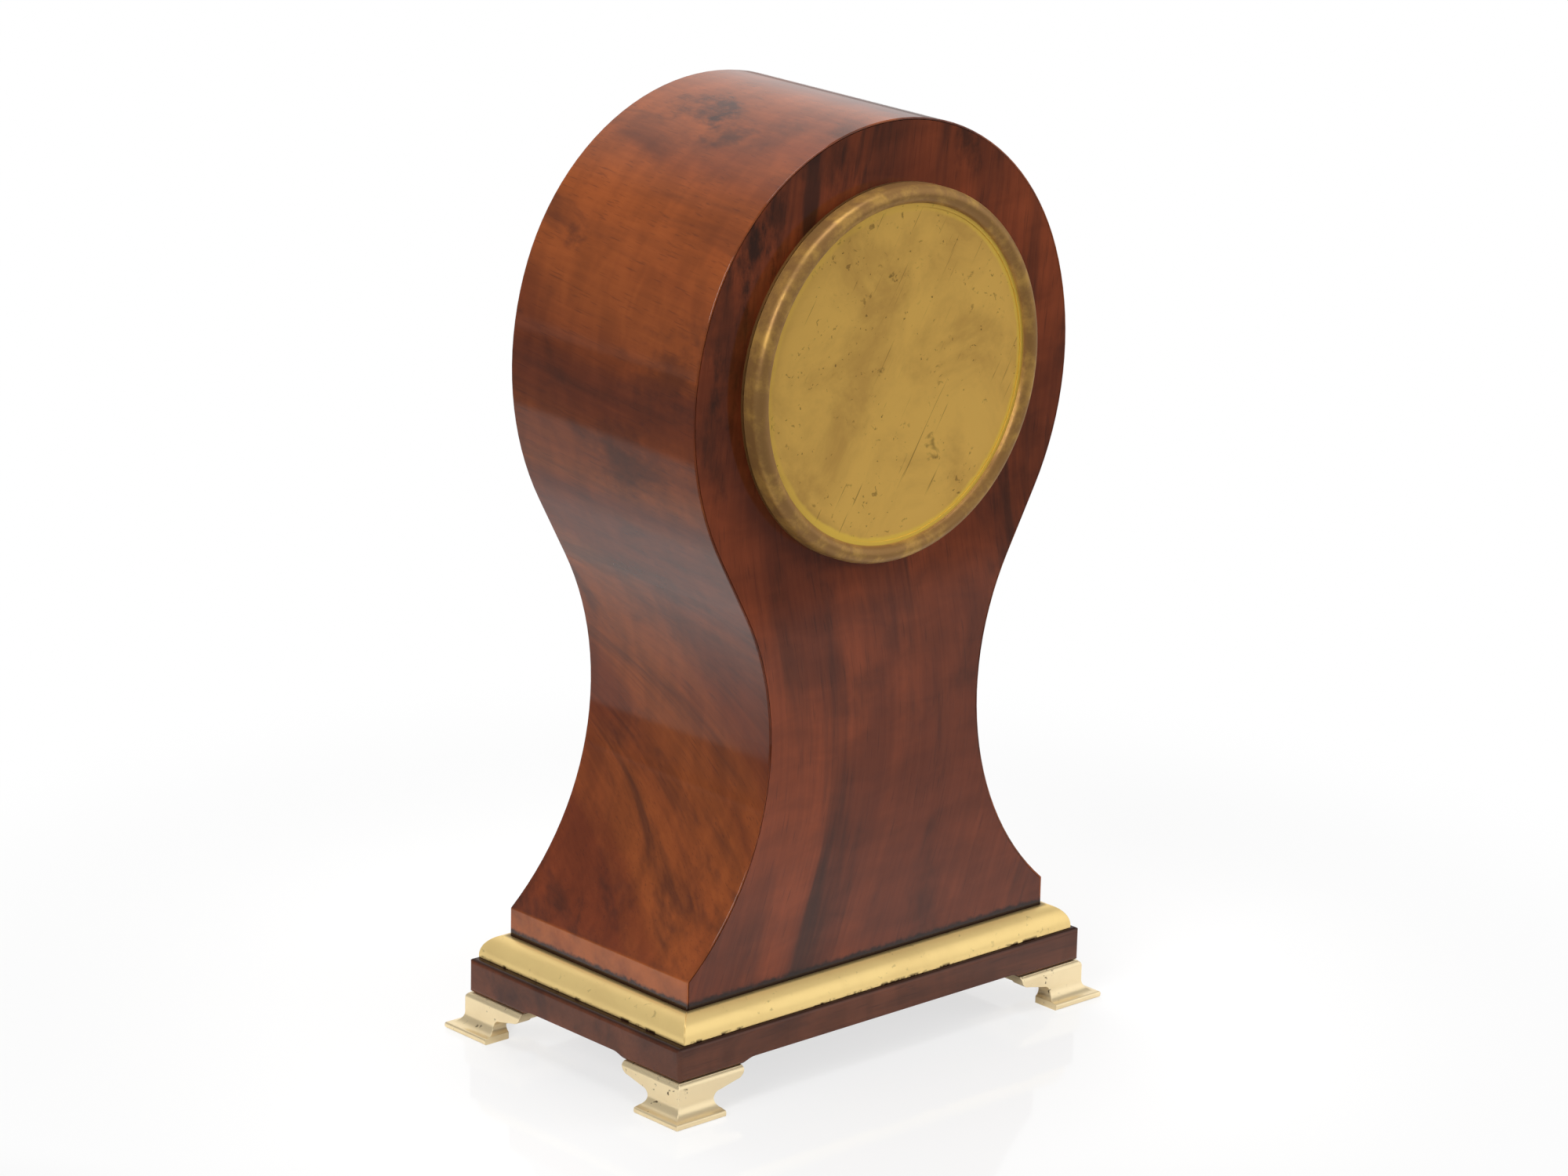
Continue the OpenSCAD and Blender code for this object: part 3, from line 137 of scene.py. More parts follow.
class VeneerSettings(PropertyGroup):
    """Colours and edges of the wood."""

    side_light: colour_property("Side light", "Bright figure of the side veneer", srgb(146, 74, 32))
    side_middle: colour_property("Side middle", "Ground of the side veneer", srgb(114, 51, 24))
    side_dark: colour_property("Side dark", "Dark figure of the side veneer", srgb(58, 32, 24))
    back_light: colour_property("Back light", "Bright stripes of the back board", srgb(132, 62, 33))
    back_middle: colour_property("Back middle", "Ground of the back veneer", srgb(103, 48, 28))
    back_dark: colour_property("Back dark", "Dark stripes of the back veneer", srgb(46, 28, 22))
    plinth_light: colour_property("Plinth light", "Bright figure of the plinth", srgb(116, 64, 42))
    plinth_middle: colour_property("Plinth middle", "Ground of the plinth", srgb(95, 53, 35))
    plinth_dark: colour_property("Plinth dark", "Dark figure of the plinth", srgb(48, 28, 24))
    # The land colour is paler veneer with a painted sheen on it
    land_veneer_and_sheen: colour_property("Land", "Paler veneer on the land", srgb(182, 98, 42))
    # This tone also paints the back cover's shadow on the back board
    dirt_and_shade: colour_property("Grime", "Old wax and dirt in the seams", srgb(38, 24, 18))
    arris: length_property("Arris", "Rounding of the case edges", 0.3 * MM)
    plinth_edge: length_property("Plinth edge", "Rounding of the plinth edges", 0.7 * MM)
    land: length_property("Land height", "Height of the land at the foot of each side", 14.2 * MM)


class BrassSettings(PropertyGroup):
    """Colours and edges of the metal."""

    polished: colour_property("Polished", "Polished lacquered brass", srgb(248, 217, 146))
    pale: colour_property("Pale", "Paler cast brass of the feet", srgb(244, 224, 182))
    tarnish: colour_property("Tarnish", "Dull brown film on brass", srgb(150, 108, 58))
    pit: colour_property("Pit", "Dark pits and spots", srgb(62, 42, 24))
    patina: colour_property("Patina", "Mustard patina of the back cover", srgb(228, 182, 92))
    bead: colour_property("Bead", "Browner patina on the cover's bead", srgb(152, 114, 68))
    rubbed: colour_property("Rubbed", "Bright ring rubbed on the cover's edge", srgb(238, 200, 86))
    train: colour_property("Train", "Satin brass of the movement", srgb(214, 178, 104))
    steel: colour_property("Steel", "Polished steel", srgb(186, 188, 192))
    blued: colour_property("Blued", "Heat-blued steel", srgb(38, 46, 92))
    edge: length_property("Edge", "Rounding of the brass edges", 0.25 * MM)


class DialSettings(PropertyGroup):
    """Layout of the dial and its paint."""

    enamel: colour_property("Enamel", "White fired enamel", srgb(240, 236, 222))
    ink: colour_property("Ink", "Black fired numerals", srgb(22, 20, 22))
    chapter_outer: length_property("Chapter outer", "Outer radius of the numerals", 36.0 * MM)
    chapter_inner: length_property("Chapter inner", "Inner radius of the numerals", 27.5 * MM)
    track_outer: length_property("Track outer", "Outer radius of the minute track", 41.4 * MM)
    track_inner: length_property("Track inner", "Inner radius of the minute track", 39.0 * MM)
    paint: length_property("Paint", "Thickness of the fired paint", 0.06 * MM)
    stroke: length_property("Stroke", "Width of a heavy stroke", 1.35 * MM)
    hair: length_property("Hair", "Width of a light stroke", 0.38 * MM)
    minutes: IntProperty(name="Minutes", description="Marks round the track", default=60, min=12)


class StageSettings(PropertyGroup):
    """Camera, floor and light."""

    azimuth: angle_property("Azimuth", "Camera bearing", 137.46)
    elevation: angle_property("Elevation", "Camera height angle", 17.08)
    roll: angle_property("Roll", "Camera roll", 1.36)
    distance: length_property("Distance", "Camera to target", 1.5255)
    target: vector_property("Target", "Point at the middle of the view", (0.74 * MM, 0, 118.7 * MM))
    lens: FloatProperty(name="Lens", description="Focal length in mm", default=134.1, min=1)
    floor_size: length_property("Floor", "Side of the floor", 12.0)
    table_r: length_property("Table", "Radius of the bright table top", 0.637)
    table_rim: length_property("Table rim", "Half the width of the table top's soft edge", 0.02)
    table_middle: vector_property("Table middle", "Middle of the table top", (-0.357, -0.3, 0))
    backdrop: vector_property(
        "Backdrop", "Direction of the bright backdrop", (-0.46, -0.77, 0.45), "DIRECTION")
    mirrored: share_property("Mirrored", "Share of the white backdrop in reflections", 0.15)
    room: share_property("Room", "Grey level of the studio round the table", 0.12)
    sweep: share_property("Sweep", "Grey level of the lit backdrop and of the floor before it", 0.9)
    light_aim: vector_property("Light aim", "Point that the lights are turned to", (0, 0, 120 * MM))


# Shader graph helpers


def put(tree, kind, inputs=None, **settings):
    """Adds a node, sets it and joins or fills its inputs by name or place."""
    node = tree.nodes.new(kind)
    for key, value in settings.items():
        setattr(node, key, value)
    for key, value in (inputs or {}).items():
        if isinstance(value, bpy.types.NodeSocket):
            tree.links.new(value, node.inputs[key])
        else:
            node.inputs[key].default_value = value
    return node


def maths(tree, operation, first, second=0.0):
    return put(tree, "ShaderNodeMath", {0: first, 1: second}, operation=operation).outputs[0]


def ramp(tree, value, low, high, to_low=0.0, to_high=1.0):
    """A smooth step of a value between two levels."""
    inputs = {"Value": value, "From Min": low, "From Max": high, "To Min": to_low,
              "To Max": to_high}
    return put(tree, "ShaderNodeMapRange", inputs, interpolation_type="SMOOTHSTEP").outputs[0]


def blend(tree, share, first, second, mode="MIX"):
    """A mix of two colours."""
    inputs = {0: share, 6: first, 7: second}
    return put(tree, "ShaderNodeMix", inputs, data_type="RGBA", blend_type=mode).outputs[2]


def noise(tree, vector, scale, detail=3.0, rough=0.55, warp=0.0):
    inputs = {"Vector": vector, "Scale": scale, "Detail": detail, "Roughness": rough,
              "Distortion": warp}
    return put(tree, "ShaderNodeTexNoise", inputs).outputs[0]


def vector_maths(tree, operation, first, second=(0, 0, 0)):
    """The outputs of a vector operation, of which only its vector or its value is in use."""
    return put(tree, "ShaderNodeVectorMath", {0: first, 1: second}, operation=operation).outputs


def stretch(tree, vector, factors):
    return vector_maths(tree, "MULTIPLY", vector, factors)["Vector"]


def shift(tree, vector, offset):
    return vector_maths(tree, "ADD", vector, offset)["Vector"]


def measure(tree, operation, first, second=(0, 0, 0)):
    """A single value from vectors: a length, a distance or a dot product."""
    return vector_maths(tree, operation, first, second)["Value"]


def split(tree, vector):
    return put(tree, "ShaderNodeSeparateXYZ", {0: vector}).outputs


def joined(tree, x, y, z):
    return put(tree, "ShaderNodeCombineXYZ", {0: x, 1: y, 2: z}).outputs[0]


def object_place(tree):
    return put(tree, "ShaderNodeTexCoord").outputs["Object"]


def new_group(name, inputs, outputs):
    """A shader group with named sockets; returns its tree, its inputs and its output node."""
    tree = bpy.data.node_groups.new(name, "ShaderNodeTree")
    for direction, sockets in (("INPUT", inputs), ("OUTPUT", outputs)):
        for label, kind in sockets.items():
            tree.interface.new_socket(label, in_out=direction, socket_type=f"NodeSocket{kind}")
    return tree, tree.nodes.new("NodeGroupInput").outputs, tree.nodes.new("NodeGroupOutput")


def use_group(tree, group, inputs):
    return put(tree, "ShaderNodeGroup", inputs, node_tree=group).outputs


def new_material(name):
    """An empty material with a principled shader; returns the material, its tree and the shader."""
    material = bpy.data.materials.new(name)
    material.use_nodes = True
    tree = material.node_tree
    tree.nodes.clear()
    shader = tree.nodes.new("ShaderNodeBsdfPrincipled")
    out = tree.nodes.new("ShaderNodeOutputMaterial")
    tree.links.new(shader.outputs["BSDF"], out.inputs["Surface"])
    return material, tree, shader


def finish_surface(tree, shader, colour, roughness, height=None, depth=0.1 * MM, **plain):
    """Joins colour, roughness and relief to the shader and sets its plain values."""
    tree.links.new(colour, shader.inputs["Base Color"])
    tree.links.new(roughness, shader.inputs["Roughness"])
    if height is not None:
        bump = put(tree, "ShaderNodeBump", {"Strength": 1.0, "Distance": depth, "Height": height})
        tree.links.new(bump.outputs[0], shader.inputs["Normal"])
    for key, value in plain.items():
        shader.inputs[key.replace("_", " ")].default_value = value


# Shared effects


def build_veneer_group():
    """Figured mahogany with its grain along Y: broad figure, stripes, blotches, lines and pores."""
    tree, given, out = new_group(
        "Veneer_figure",
        {"Vector": "Vector", "Light": "Color", "Middle": "Color", "Dark": "Color",
         "Lightness": "Float", "Stripe": "Float", "Blotch": "Float"},
        {"Color": "Color", "Roughness": "Float", "Height": "Float"})
    place = given["Vector"]

    def layer(along, across=1, **values):
        """A noise whose scale differs along and across the grain."""
        return noise(tree, stretch(tree, place, (across, along, across)), **values)

    broad = layer(0.3, scale=17, detail=3, rough=0.5, warp=0.7)
    broad = maths(tree, "ADD", broad, given["Lightness"])
    stripes = layer(0.13, scale=60, detail=4, rough=0.6, warp=0.5)
    clouds = layer(0.55, scale=34, detail=5, rough=0.6, warp=1.1)
    lines = layer(0.03, scale=620, detail=3, rough=0.6)
    fire = layer(1.4, 0.6, scale=90, detail=3, rough=0.5, warp=0.4)
    pores = layer(0.045, scale=2400, detail=1, rough=0.5)
    colour = blend(tree, ramp(tree, broad, 0.42, 0.62), given["Middle"], given["Light"])
    stripe_share = maths(tree, "MULTIPLY", ramp(tree, stripes, 0.47, 0.7), given["Stripe"])
    blotch_share = maths(tree, "MULTIPLY", ramp(tree, clouds, 0.52, 0.7), given["Blotch"])
    for share in (stripe_share, blotch_share):
        colour = blend(tree, share, colour, given["Dark"])
    line_shade = ramp(tree, lines, 0.3, 0.7, 0.92, 1.07)
    fire_shade = ramp(tree, fire, 0.3, 0.7, 0.86, 1.12)
    shade = maths(tree, "MULTIPLY", line_shade, fire_shade)
    shade_colour = put(tree, "ShaderNodeCombineColor", {0: shade, 1: shade, 2: shade}).outputs[0]
    colour = blend(tree, 1.0, colour, shade_colour, "MULTIPLY")
    pore_share = ramp(tree, pores, 0.62, 0.74, 0.0, 0.34)
    colour = blend(tree, pore_share, colour, given["Dark"])
    film = noise(tree, place, scale=60, detail=2, rough=0.5)
    height = maths(tree, "SUBTRACT", film, maths(tree, "MULTIPLY", pore_share, 0.05))
    tree.links.new(colour, out.inputs["Color"])
    tree.links.new(ramp(tree, clouds, 0.3, 0.7, 0.3, 0.42), out.inputs["Roughness"])
    tree.links.new(height, out.inputs["Height"])
    return tree


def build_seam_group():
    """A dark band just above a level, with a ragged edge."""
    tree, given, out = new_group(
        "Seam_band", {"Vector": "Vector", "Level": "Float", "Reach": "Float"}, {"Mask": "Float"})
    above = maths(tree, "SUBTRACT", split(tree, given["Vector"])[2], given["Level"])
    specks = noise(tree, given["Vector"], scale=420, detail=4, rough=0.65)
    ragged = maths(tree, "MULTIPLY", specks, given["Reach"])
    share = maths(tree, "DIVIDE", maths(tree, "SUBTRACT", above, ragged), given["Reach"])
    tree.links.new(ramp(tree, share, 0.0, 0.5, 0.94, 0.0), out.inputs["Mask"])
    return tree


def build_brass_group():
    """Handled brass: clouds of tarnish, dark pits and fine scratches."""
    tree, given, out = new_group(
        "Brass_age",
        {"Vector": "Vector", "Clean": "Color", "Tarnish": "Color", "Pit": "Color", "Film": "Float",
         "Pitting": "Float", "Smooth": "Float"},
        {"Color": "Color", "Roughness": "Float", "Height": "Float"})
    place = given["Vector"]
    clouds = noise(tree, place, scale=46, detail=5, rough=0.6, warp=0.6)
    streaks = noise(tree, stretch(tree, place, (1, 1, 0.12)), scale=900, detail=2, rough=0.5)
    spread = ramp(tree, noise(tree, place, scale=85, detail=3, rough=0.6), 0.46, 0.6)
    dots = noise(tree, place, scale=520, detail=3, rough=0.55, warp=0.6)
    small_pits = ramp(tree, dots, 0.63, 0.7)
    pits = maths(tree, "MULTIPLY", maths(tree, "MULTIPLY", small_pits, spread), given["Pitting"])
    film = maths(tree, "MULTIPLY", ramp(tree, clouds, 0.42, 0.72), given["Film"])
    colour = blend(tree, film, given["Clean"], given["Tarnish"])
    colour = blend(tree, pits, colour, given["Pit"])
    rough = maths(tree, "ADD", given["Smooth"], ramp(tree, streaks, 0.3, 0.75, 0.0, 0.03))
    rough = maths(tree, "ADD", rough, maths(tree, "MULTIPLY", film, 0.25))
    rough = maths(tree, "ADD", rough, maths(tree, "MULTIPLY", pits, 0.4))
    tree.links.new(colour, out.inputs["Color"])
    tree.links.new(rough, out.inputs["Roughness"])
    tree.links.new(maths(tree, "SUBTRACT", 1.0, pits), out.inputs["Height"])
    return tree


def shared_group(name):
    """The named shader group, built the first time that it is asked for."""
    builders = {"Veneer_figure": build_veneer_group, "Seam_band": build_seam_group,
                "Brass_age": build_brass_group}
    return bpy.data.node_groups.get(name) or builders[name]()


# Materials


def veneer_material(name, tones, grain, extra, gloss):
    """Polished veneer; tones names its colours, grain sets its figure, and extra retouches it."""
    wood = bpy.context.scene.clock_veneer
    film_depth = 0.05 * MM
    material, tree, shader = new_material(name)
    place = object_place(tree)
    figure = use_group(tree, shared_group("Veneer_figure"), {
        "Light": getattr(wood, f"{tones}_light"), "Middle": getattr(wood, f"{tones}_middle"),
        "Dark": getattr(wood, f"{tones}_dark"), **grain(tree, place)})
    colour = extra(tree, place, figure["Color"])
    finish_surface(tree, shader, colour, figure["Roughness"], figure["Height"], film_depth,
                   Coat_Weight=gloss, Coat_Roughness=0.07, Coat_IOR=1.5, Specular_IOR_Level=0.0)
    return material


def smudged(tree, place, colour, tone, squash, marks):
    """Soft dark marks over a colour; each has a middle and a reach in mm, and a strength."""
    raggedness = 3
    squashed = stretch(tree, place, squash)
    ragged = maths(tree, "SUBTRACT", noise(tree, squashed, scale=170, detail=5, rough=0.65), 0.5)
    for spot, reach, strength in marks:
        middle = [value * MM * factor for value, factor in zip(spot, squash)]
        away = measure(tree, "DISTANCE", squashed, middle)
        uneven = maths(tree, "ADD", away, maths(tree, "MULTIPLY", ragged, raggedness * reach * MM))
        colour = blend(tree, ramp(tree, uneven, 0, reach * MM, strength, 0.0), colour, tone)
    return colour


def case_seam_band(tree, place, colour):
    """A dark ragged band on the case just above the brass moulding."""
    wood = bpy.context.scene.clock_veneer
    reach = 2.6 * MM
    seam = use_group(tree, shared_group("Seam_band"), {
        "Vector": place, "Level": MOULDING_TOP_Z, "Reach": reach})
    return blend(tree, seam["Mask"], colour, wood.dirt_and_shade)


# The cut of a grain is the place in the endless figure that its sheet is taken from


def side_grain(tree, place):
    """Grain across the side band, which slants more and more towards the foot of the case, with a
    painted lighter band high on the side.
    """
    cut = (0.31, 0.12, 0.07)
    x, y, z = split(tree, place)
    slant = ramp(tree, z, 40 * MM, 170 * MM, 0.8, 0.12)
    skewed = maths(tree, "ADD", z, maths(tree, "MULTIPLY", y, slant))
    # Painted light: the side is made lighter in a band high up, where the light falls strongest
    bright = maths(tree, "MULTIPLY", ramp(tree, z, 170 * MM, 190 * MM),
                   ramp(tree, z, 220 * MM, 245 * MM, 1.0, 0.0))
    return {"Vector": shift(tree, joined(tree, x, y, skewed), cut),
            "Lightness": maths(tree, "MULTIPLY", bright, 0.1),
            "Stripe": ramp(tree, z, 100 * MM, 170 * MM, 0.8, 0.4),
            "Blotch": ramp(tree, z, 100 * MM, 180 * MM, 0.6, 0.45)}


def side_retouch(tree, place, colour):
    """Dark knots and smudges, and the land at the side's foot, paler than the hollow above it:
    paler veneer under a painted sheen.
    """
    wood = bpy.context.scene.clock_veneer
    land_edge = 0.4 * MM
    marks = (((17.8, -11, 244), 10, 0.9), ((26, 4, 243), 8, 0.75), ((34.6, -31, 236), 4, 0.7),
             ((53.5, -22, 216), 4, 0.6), ((57, -34, 210), 2.4, 0.9), ((61, -33, 196.6), 2.4, 0.9),
             ((62, 26, 189), 14, 0.45), ((59, 10, 166), 16, 0.45))
    colour = smudged(tree, place, colour, wood.side_dark, (1, 0.6, 1), marks)
    z = split(tree, place)[2]
    # The land is painted paler in patches: paler veneer and a painted sheen
    patchy = ramp(tree, noise(tree, place, scale=130, detail=4, rough=0.6), 0.3, 0.7, 0.35, 0.8)
    top = CASE_BASE_Z + wood.land
    pale = maths(tree, "MULTIPLY", ramp(tree, z, top - land_edge, top + land_edge, 1.0, 0.0), patchy)
    return case_seam_band(tree, place, blend(tree, pale, colour, wood.land_veneer_and_sheen))


def upright_grain(tree, place):
    """Upright grain that leans over a little, for the front and back boards, with painted shade
    towards their foot and more dark blotch, partly painted shadow, towards the top.
    """
    cut = (0.05, 0.41, 0.2)
    x, y, z = split(tree, place)
    lean = ramp(tree, z, 50 * MM, 160 * MM, 0.36, 0.1)
    leaning = maths(tree, "ADD", x, maths(tree, "MULTIPLY", z, lean))
    return {"Vector": shift(tree, joined(tree, leaning, z, y), cut),
            # Painted shade: the boards are made darker towards their foot
            "Lightness": ramp(tree, z, 40 * MM, 100 * MM, -0.05, 0.02),
            "Stripe": 0.8,
            # More dark blotch towards the top: dark figure, and painted shadow round the top of the
            # back cover
            "Blotch": ramp(tree, z, 150 * MM, 210 * MM, 0.4, 0.8)}


def back_retouch(tree, place, colour):
    """Near-black mottles round the top of the back cover, partly dark figure and partly painted
    shadow of the cover, and the dark band in the seam.
    """
    wood = bpy.context.scene.clock_veneer
    # Painted shadow: with the dark figure, these mottles paint the back cover's shadow on the board
    marks = (((46, 35, 222.6), 8, 0.9), ((38.5, 35, 231), 6, 0.6), ((54, 35, 204), 12, 0.5),
             ((19, 35, 243), 6, 0.5), ((-27, 35, 241), 6, 0.7), ((58, 35, 176), 9, 0.5))
    return case_seam_band(tree, place, smudged(tree, place, colour, wood.dirt_and_shade, (1, 1, 0.5), marks))


def plinth_grain(tree, place):
    """Grain along the plinth's length."""
    cut = (0.2, 0.6, 0.4)
    x, y, z = split(tree, place)
    return {"Vector": shift(tree, joined(tree, z, x, y), cut), "Lightness": 0.0, "Stripe": 0.5,
            "Blotch": 0.5}


def plinth_retouch(tree, place, colour):
    """Grime on the ledge round the brass moulding."""
    wood = bpy.context.scene.clock_veneer
    clean_below, dirty_above = PLINTH_TOP_Z - 0.9 * MM, PLINTH_TOP_Z - 0.2 * MM
    z = split(tree, place)[2]
    ledge = ramp(tree, z, clean_below, dirty_above, 0.0, 0.85)
    return blend(tree, ledge, colour, wood.dirt_and_shade)


def brass_material(name, clean, film, pitting, smooth, metallic=1.0, extra=None):
    """Brass with its age; clean names its colour, and extra may retouch it."""
    brass = bpy.context.scene.clock_brass
    pit_depth = 0.01 * MM
    material, tree, shader = new_material(name)
    place = object_place(tree)
    age = use_group(tree, shared_group("Brass_age"), {
        "Vector": place, "Clean": getattr(brass, clean), "Tarnish": brass.tarnish, "Pit": brass.pit,
        "Film": film, "Pitting": pitting, "Smooth": smooth})
    colour = age["Color"]
    if extra is not None:
        colour = extra(tree, place, colour)
    finish_surface(tree, shader, colour, age["Roughness"], age["Height"], pit_depth,
                   Metallic=metallic, Specular_IOR_Level=0.1)
    return material


def disc_marks(tree, place, colour):
    """Clouds of tarnish, stains, specks and scratches on the cover's disc."""
    brass = bpy.context.scene.clock_brass
    scratch_angle = 0.55
    cloud_noise = noise(tree, place, scale=44, detail=5, rough=0.62, warp=0.4)
    clouds = ramp(tree, cloud_noise, 0.44, 0.7, 0.0, 0.36)
    stain_place = shift(tree, place, (0.4, 0.2, 0.7))
    stain_noise = noise(tree, stain_place, scale=105, detail=4, rough=0.7, warp=0.5)
    stains = ramp(tree, stain_noise, 0.66, 0.74, 0.0, 0.6)
    dots = ramp(tree, noise(tree, place, scale=800, detail=2, rough=0.5), 0.68, 0.74, 0.0, 0.7)
    dotted = ramp(tree, noise(tree, place, scale=90, detail=2), 0.42, 0.6)
    specks = maths(tree, "MULTIPLY", dots, dotted)
    turned = put(tree, "ShaderNodeVectorRotate", {"Vector": place, "Angle": scratch_angle},
                 rotation_type="Y_AXIS").outputs[0]
    scratch_place = stretch(tree, turned, (1, 1, 0.03))
    hairs = ramp(tree, noise(tree, scratch_place, scale=1500, detail=1), 0.68, 0.76, 0.0, 0.5)
    scratched = ramp(tree, noise(tree, place, scale=70), 0.48, 0.6)
    scratches = maths(tree, "MULTIPLY", hairs, scratched)
    colour = blend(tree, clouds, colour, brass.tarnish)
    for share in (scratches, stains, specks):
        colour = blend(tree, share, colour, brass.pit)
    return colour


def cover_retouch(tree, place, colour):
    """The marks on the cover's disc, its rubbed bright ring and its browner bead."""
    brass = bpy.context.scene.clock_brass
    bead_r = COVER_R - 4.9 * MM
    ring_r = COVER_R - 7.2 * MM
    ring_wander = 1.8 * MM
    rubbed_way = (-0.75, 0, -0.65)
    x, _, z = split(tree, place)
    from_axis = joined(tree, x, 0.0, maths(tree, "SUBTRACT", z, DIAL_AXIS.z))
    out = measure(tree, "LENGTH", from_axis)
    ragged = maths(tree, "SUBTRACT", noise(tree, place, scale=170, detail=4, rough=0.6), 0.5)
    wander = maths(tree, "ADD", out, maths(tree, "MULTIPLY", ragged, ring_wander))
    ring = maths(tree, "MULTIPLY", ramp(tree, wander, ring_r, ring_r + 1.0 * MM),
                 ramp(tree, out, bead_r, bead_r + 0.2 * MM, 1.0, 0.0))
    low_side = measure(tree, "DOT_PRODUCT", from_axis, rubbed_way)
    rubbed = ramp(tree, low_side, -0.6 * COVER_R, 0.3 * COVER_R, 0.3, 0.95)
    ring = maths(tree, "MULTIPLY", ring, rubbed)
    bead = ramp(tree, out, bead_r, bead_r + 0.3 * MM)
    mottle = ramp(tree, noise(tree, place, scale=120, detail=5, rough=0.7), 0.42, 0.68, 0.0, 0.45)
    bead_colour = blend(tree, mottle, brass.bead, brass.patina)
    colour = blend(tree, ring, disc_marks(tree, place, colour), brass.rubbed)
    return blend(tree, bead, colour, bead_colour)


def moulding_retouch(tree, place, colour):
    """Dark nicks along the lower edge of the brass moulding, and a dark line along its top."""
    brass = bpy.context.scene.clock_brass
    z = split(tree, place)[2]
    spread = ramp(tree, noise(tree, place, scale=260, detail=3, rough=0.6), 0.5, 0.6)
    low = ramp(tree, z, CASE_BASE_Z + 0.2 * MM, CASE_BASE_Z + 1.1 * MM, 1.0, 0.0)
    nicks = maths(tree, "MULTIPLY", spread, low)
    # A darker line along the top of the moulding, where it meets the case
    dirt = ramp(tree, z, MOULDING_TOP_Z - 0.25 * MM, MOULDING_TOP_Z, 0.0, 0.8)
    return blend(tree, maths(tree, "MAXIMUM", nicks, dirt), colour, brass.pit)


def enamel_material():
    """Glossy white enamel with faint clouds and hairlines."""
    dial = bpy.context.scene.clock_dial
    material, tree, shader = new_material("White_enamel")
    place = object_place(tree)
    stain = srgb(176, 164, 138)
    clouds = ramp(tree, noise(tree, place, scale=55, detail=4, rough=0.6), 0.4, 0.75, 0.0, 0.12)
    crazing = put(tree, "ShaderNodeTexVoronoi", {"Vector": place, "Scale": 60.0},
                  feature="DISTANCE_TO_EDGE")
    hair = ramp(tree, crazing.outputs["Distance"], 0.0, 0.006, 0.12, 0.0)
    colour = blend(tree, maths(tree, "ADD", clouds, hair), dial.enamel, stain)
    rough = ramp(tree, noise(tree, place, scale=300, detail=2), 0.3, 0.7, 0.12, 0.2)
    finish_surface(tree, shader, colour, rough, Coat_Weight=0.6, Coat_Roughness=0.05)
    return material


def ink_material():
    """Fired black paint, a little uneven."""
    dial = bpy.context.scene.clock_dial
    material, tree, shader = new_material("Fired_black")
    place = object_place(tree)
    thin_ink = srgb(70, 64, 62)
    patch = noise(tree, place, scale=900, detail=3, rough=0.6)
    colour = blend(tree, ramp(tree, patch, 0.4, 0.8, 0.0, 0.25), dial.ink, thin_ink)
    finish_surface(tree, shader, colour, ramp(tree, patch, 0.3, 0.7, 0.28, 0.42))
    return material


def glass_material():
    """Clear old glass with a slight ripple."""
    material, tree, shader = new_material("Old_glass")
    place = object_place(tree)
    clear, tinted = srgb(253, 254, 253), srgb(249, 251, 250)
    ripple_depth = 0.05 * MM
    ripple = noise(tree, place, scale=30, detail=2, rough=0.5)
    tint = blend(tree, ramp(tree, ripple, 0.3, 0.7), clear, tinted)
    rough = ramp(tree, ripple, 0.3, 0.7, 0.0, 0.015)
    finish_surface(tree, shader, tint, rough, ripple, ripple_depth,
                   Transmission_Weight=1.0, IOR=1.45)
    return material


def steel_material():
    """Steel with fine polishing lines."""
    brass = bpy.context.scene.clock_brass
    material, tree, shader = new_material("Polished_steel")
    place = object_place(tree)
    line_tone = srgb(92, 92, 98)
    lines = noise(tree, stretch(tree, place, (1, 1, 0.05)), scale=1600, detail=3, rough=0.6)
    tone = blend(tree, ramp(tree, lines, 0.3, 0.7, 0.0, 0.35), brass.steel, line_tone)
    finish_surface(tree, shader, tone, ramp(tree, lines, 0.3, 0.7, 0.13, 0.25), Metallic=1.0)
    return material


def blued_material():
    """Heat-blued steel that shifts from blue to violet."""
    brass = bpy.context.scene.clock_brass
    material, tree, shader = new_material("Blued_steel")
    violet = srgb(70, 42, 92)
    drift = noise(tree, object_place(tree), scale=160, detail=3, rough=0.5)
    tone = blend(tree, ramp(tree, drift, 0.35, 0.7), brass.blued, violet)
    finish_surface(tree, shader, tone, ramp(tree, drift, 0.3, 0.7, 0.16, 0.26), Metallic=1.0)
    return material


VENEERS = {
    "Side_veneer": dict(tones="side", grain=side_grain, extra=side_retouch, gloss=0.9),
    "Front_veneer": dict(tones="side", grain=upright_grain, extra=case_seam_band, gloss=0.9),
    "Back_veneer": dict(tones="back", grain=upright_grain, extra=back_retouch, gloss=0.65),
    "Plinth_wood": dict(tones="plinth", grain=plinth_grain, extra=plinth_retouch, gloss=0.6),
}
BRASSES = {
    "Moulding_brass": dict(clean="polished", film=0.1, pitting=0.3, smooth=0.3, metallic=0.42,
                           extra=moulding_retouch),
    "Foot_brass": dict(clean="pale", film=0.1, pitting=0.9, smooth=0.29, metallic=0.68),
    "Cover_brass": dict(clean="patina", film=0.25, pitting=0.5, smooth=0.36, metallic=0.35,
                        extra=cover_retouch),
    "Ring_brass": dict(clean="bead", film=0.6, pitting=0.6, smooth=0.36, metallic=0.8),
    "Bezel_brass": dict(clean="polished", film=0.25, pitting=0.4, smooth=0.16),
    "Train_brass": dict(clean="train", film=0.2, pitting=0.25, smooth=0.29),
}
OTHER_FINISHES = {
    "Polished_steel": steel_material,
    "Blued_steel": blued_material,
    "White_enamel": enamel_material,
    "Fired_black": ink_material,
    "Old_glass": glass_material,
}


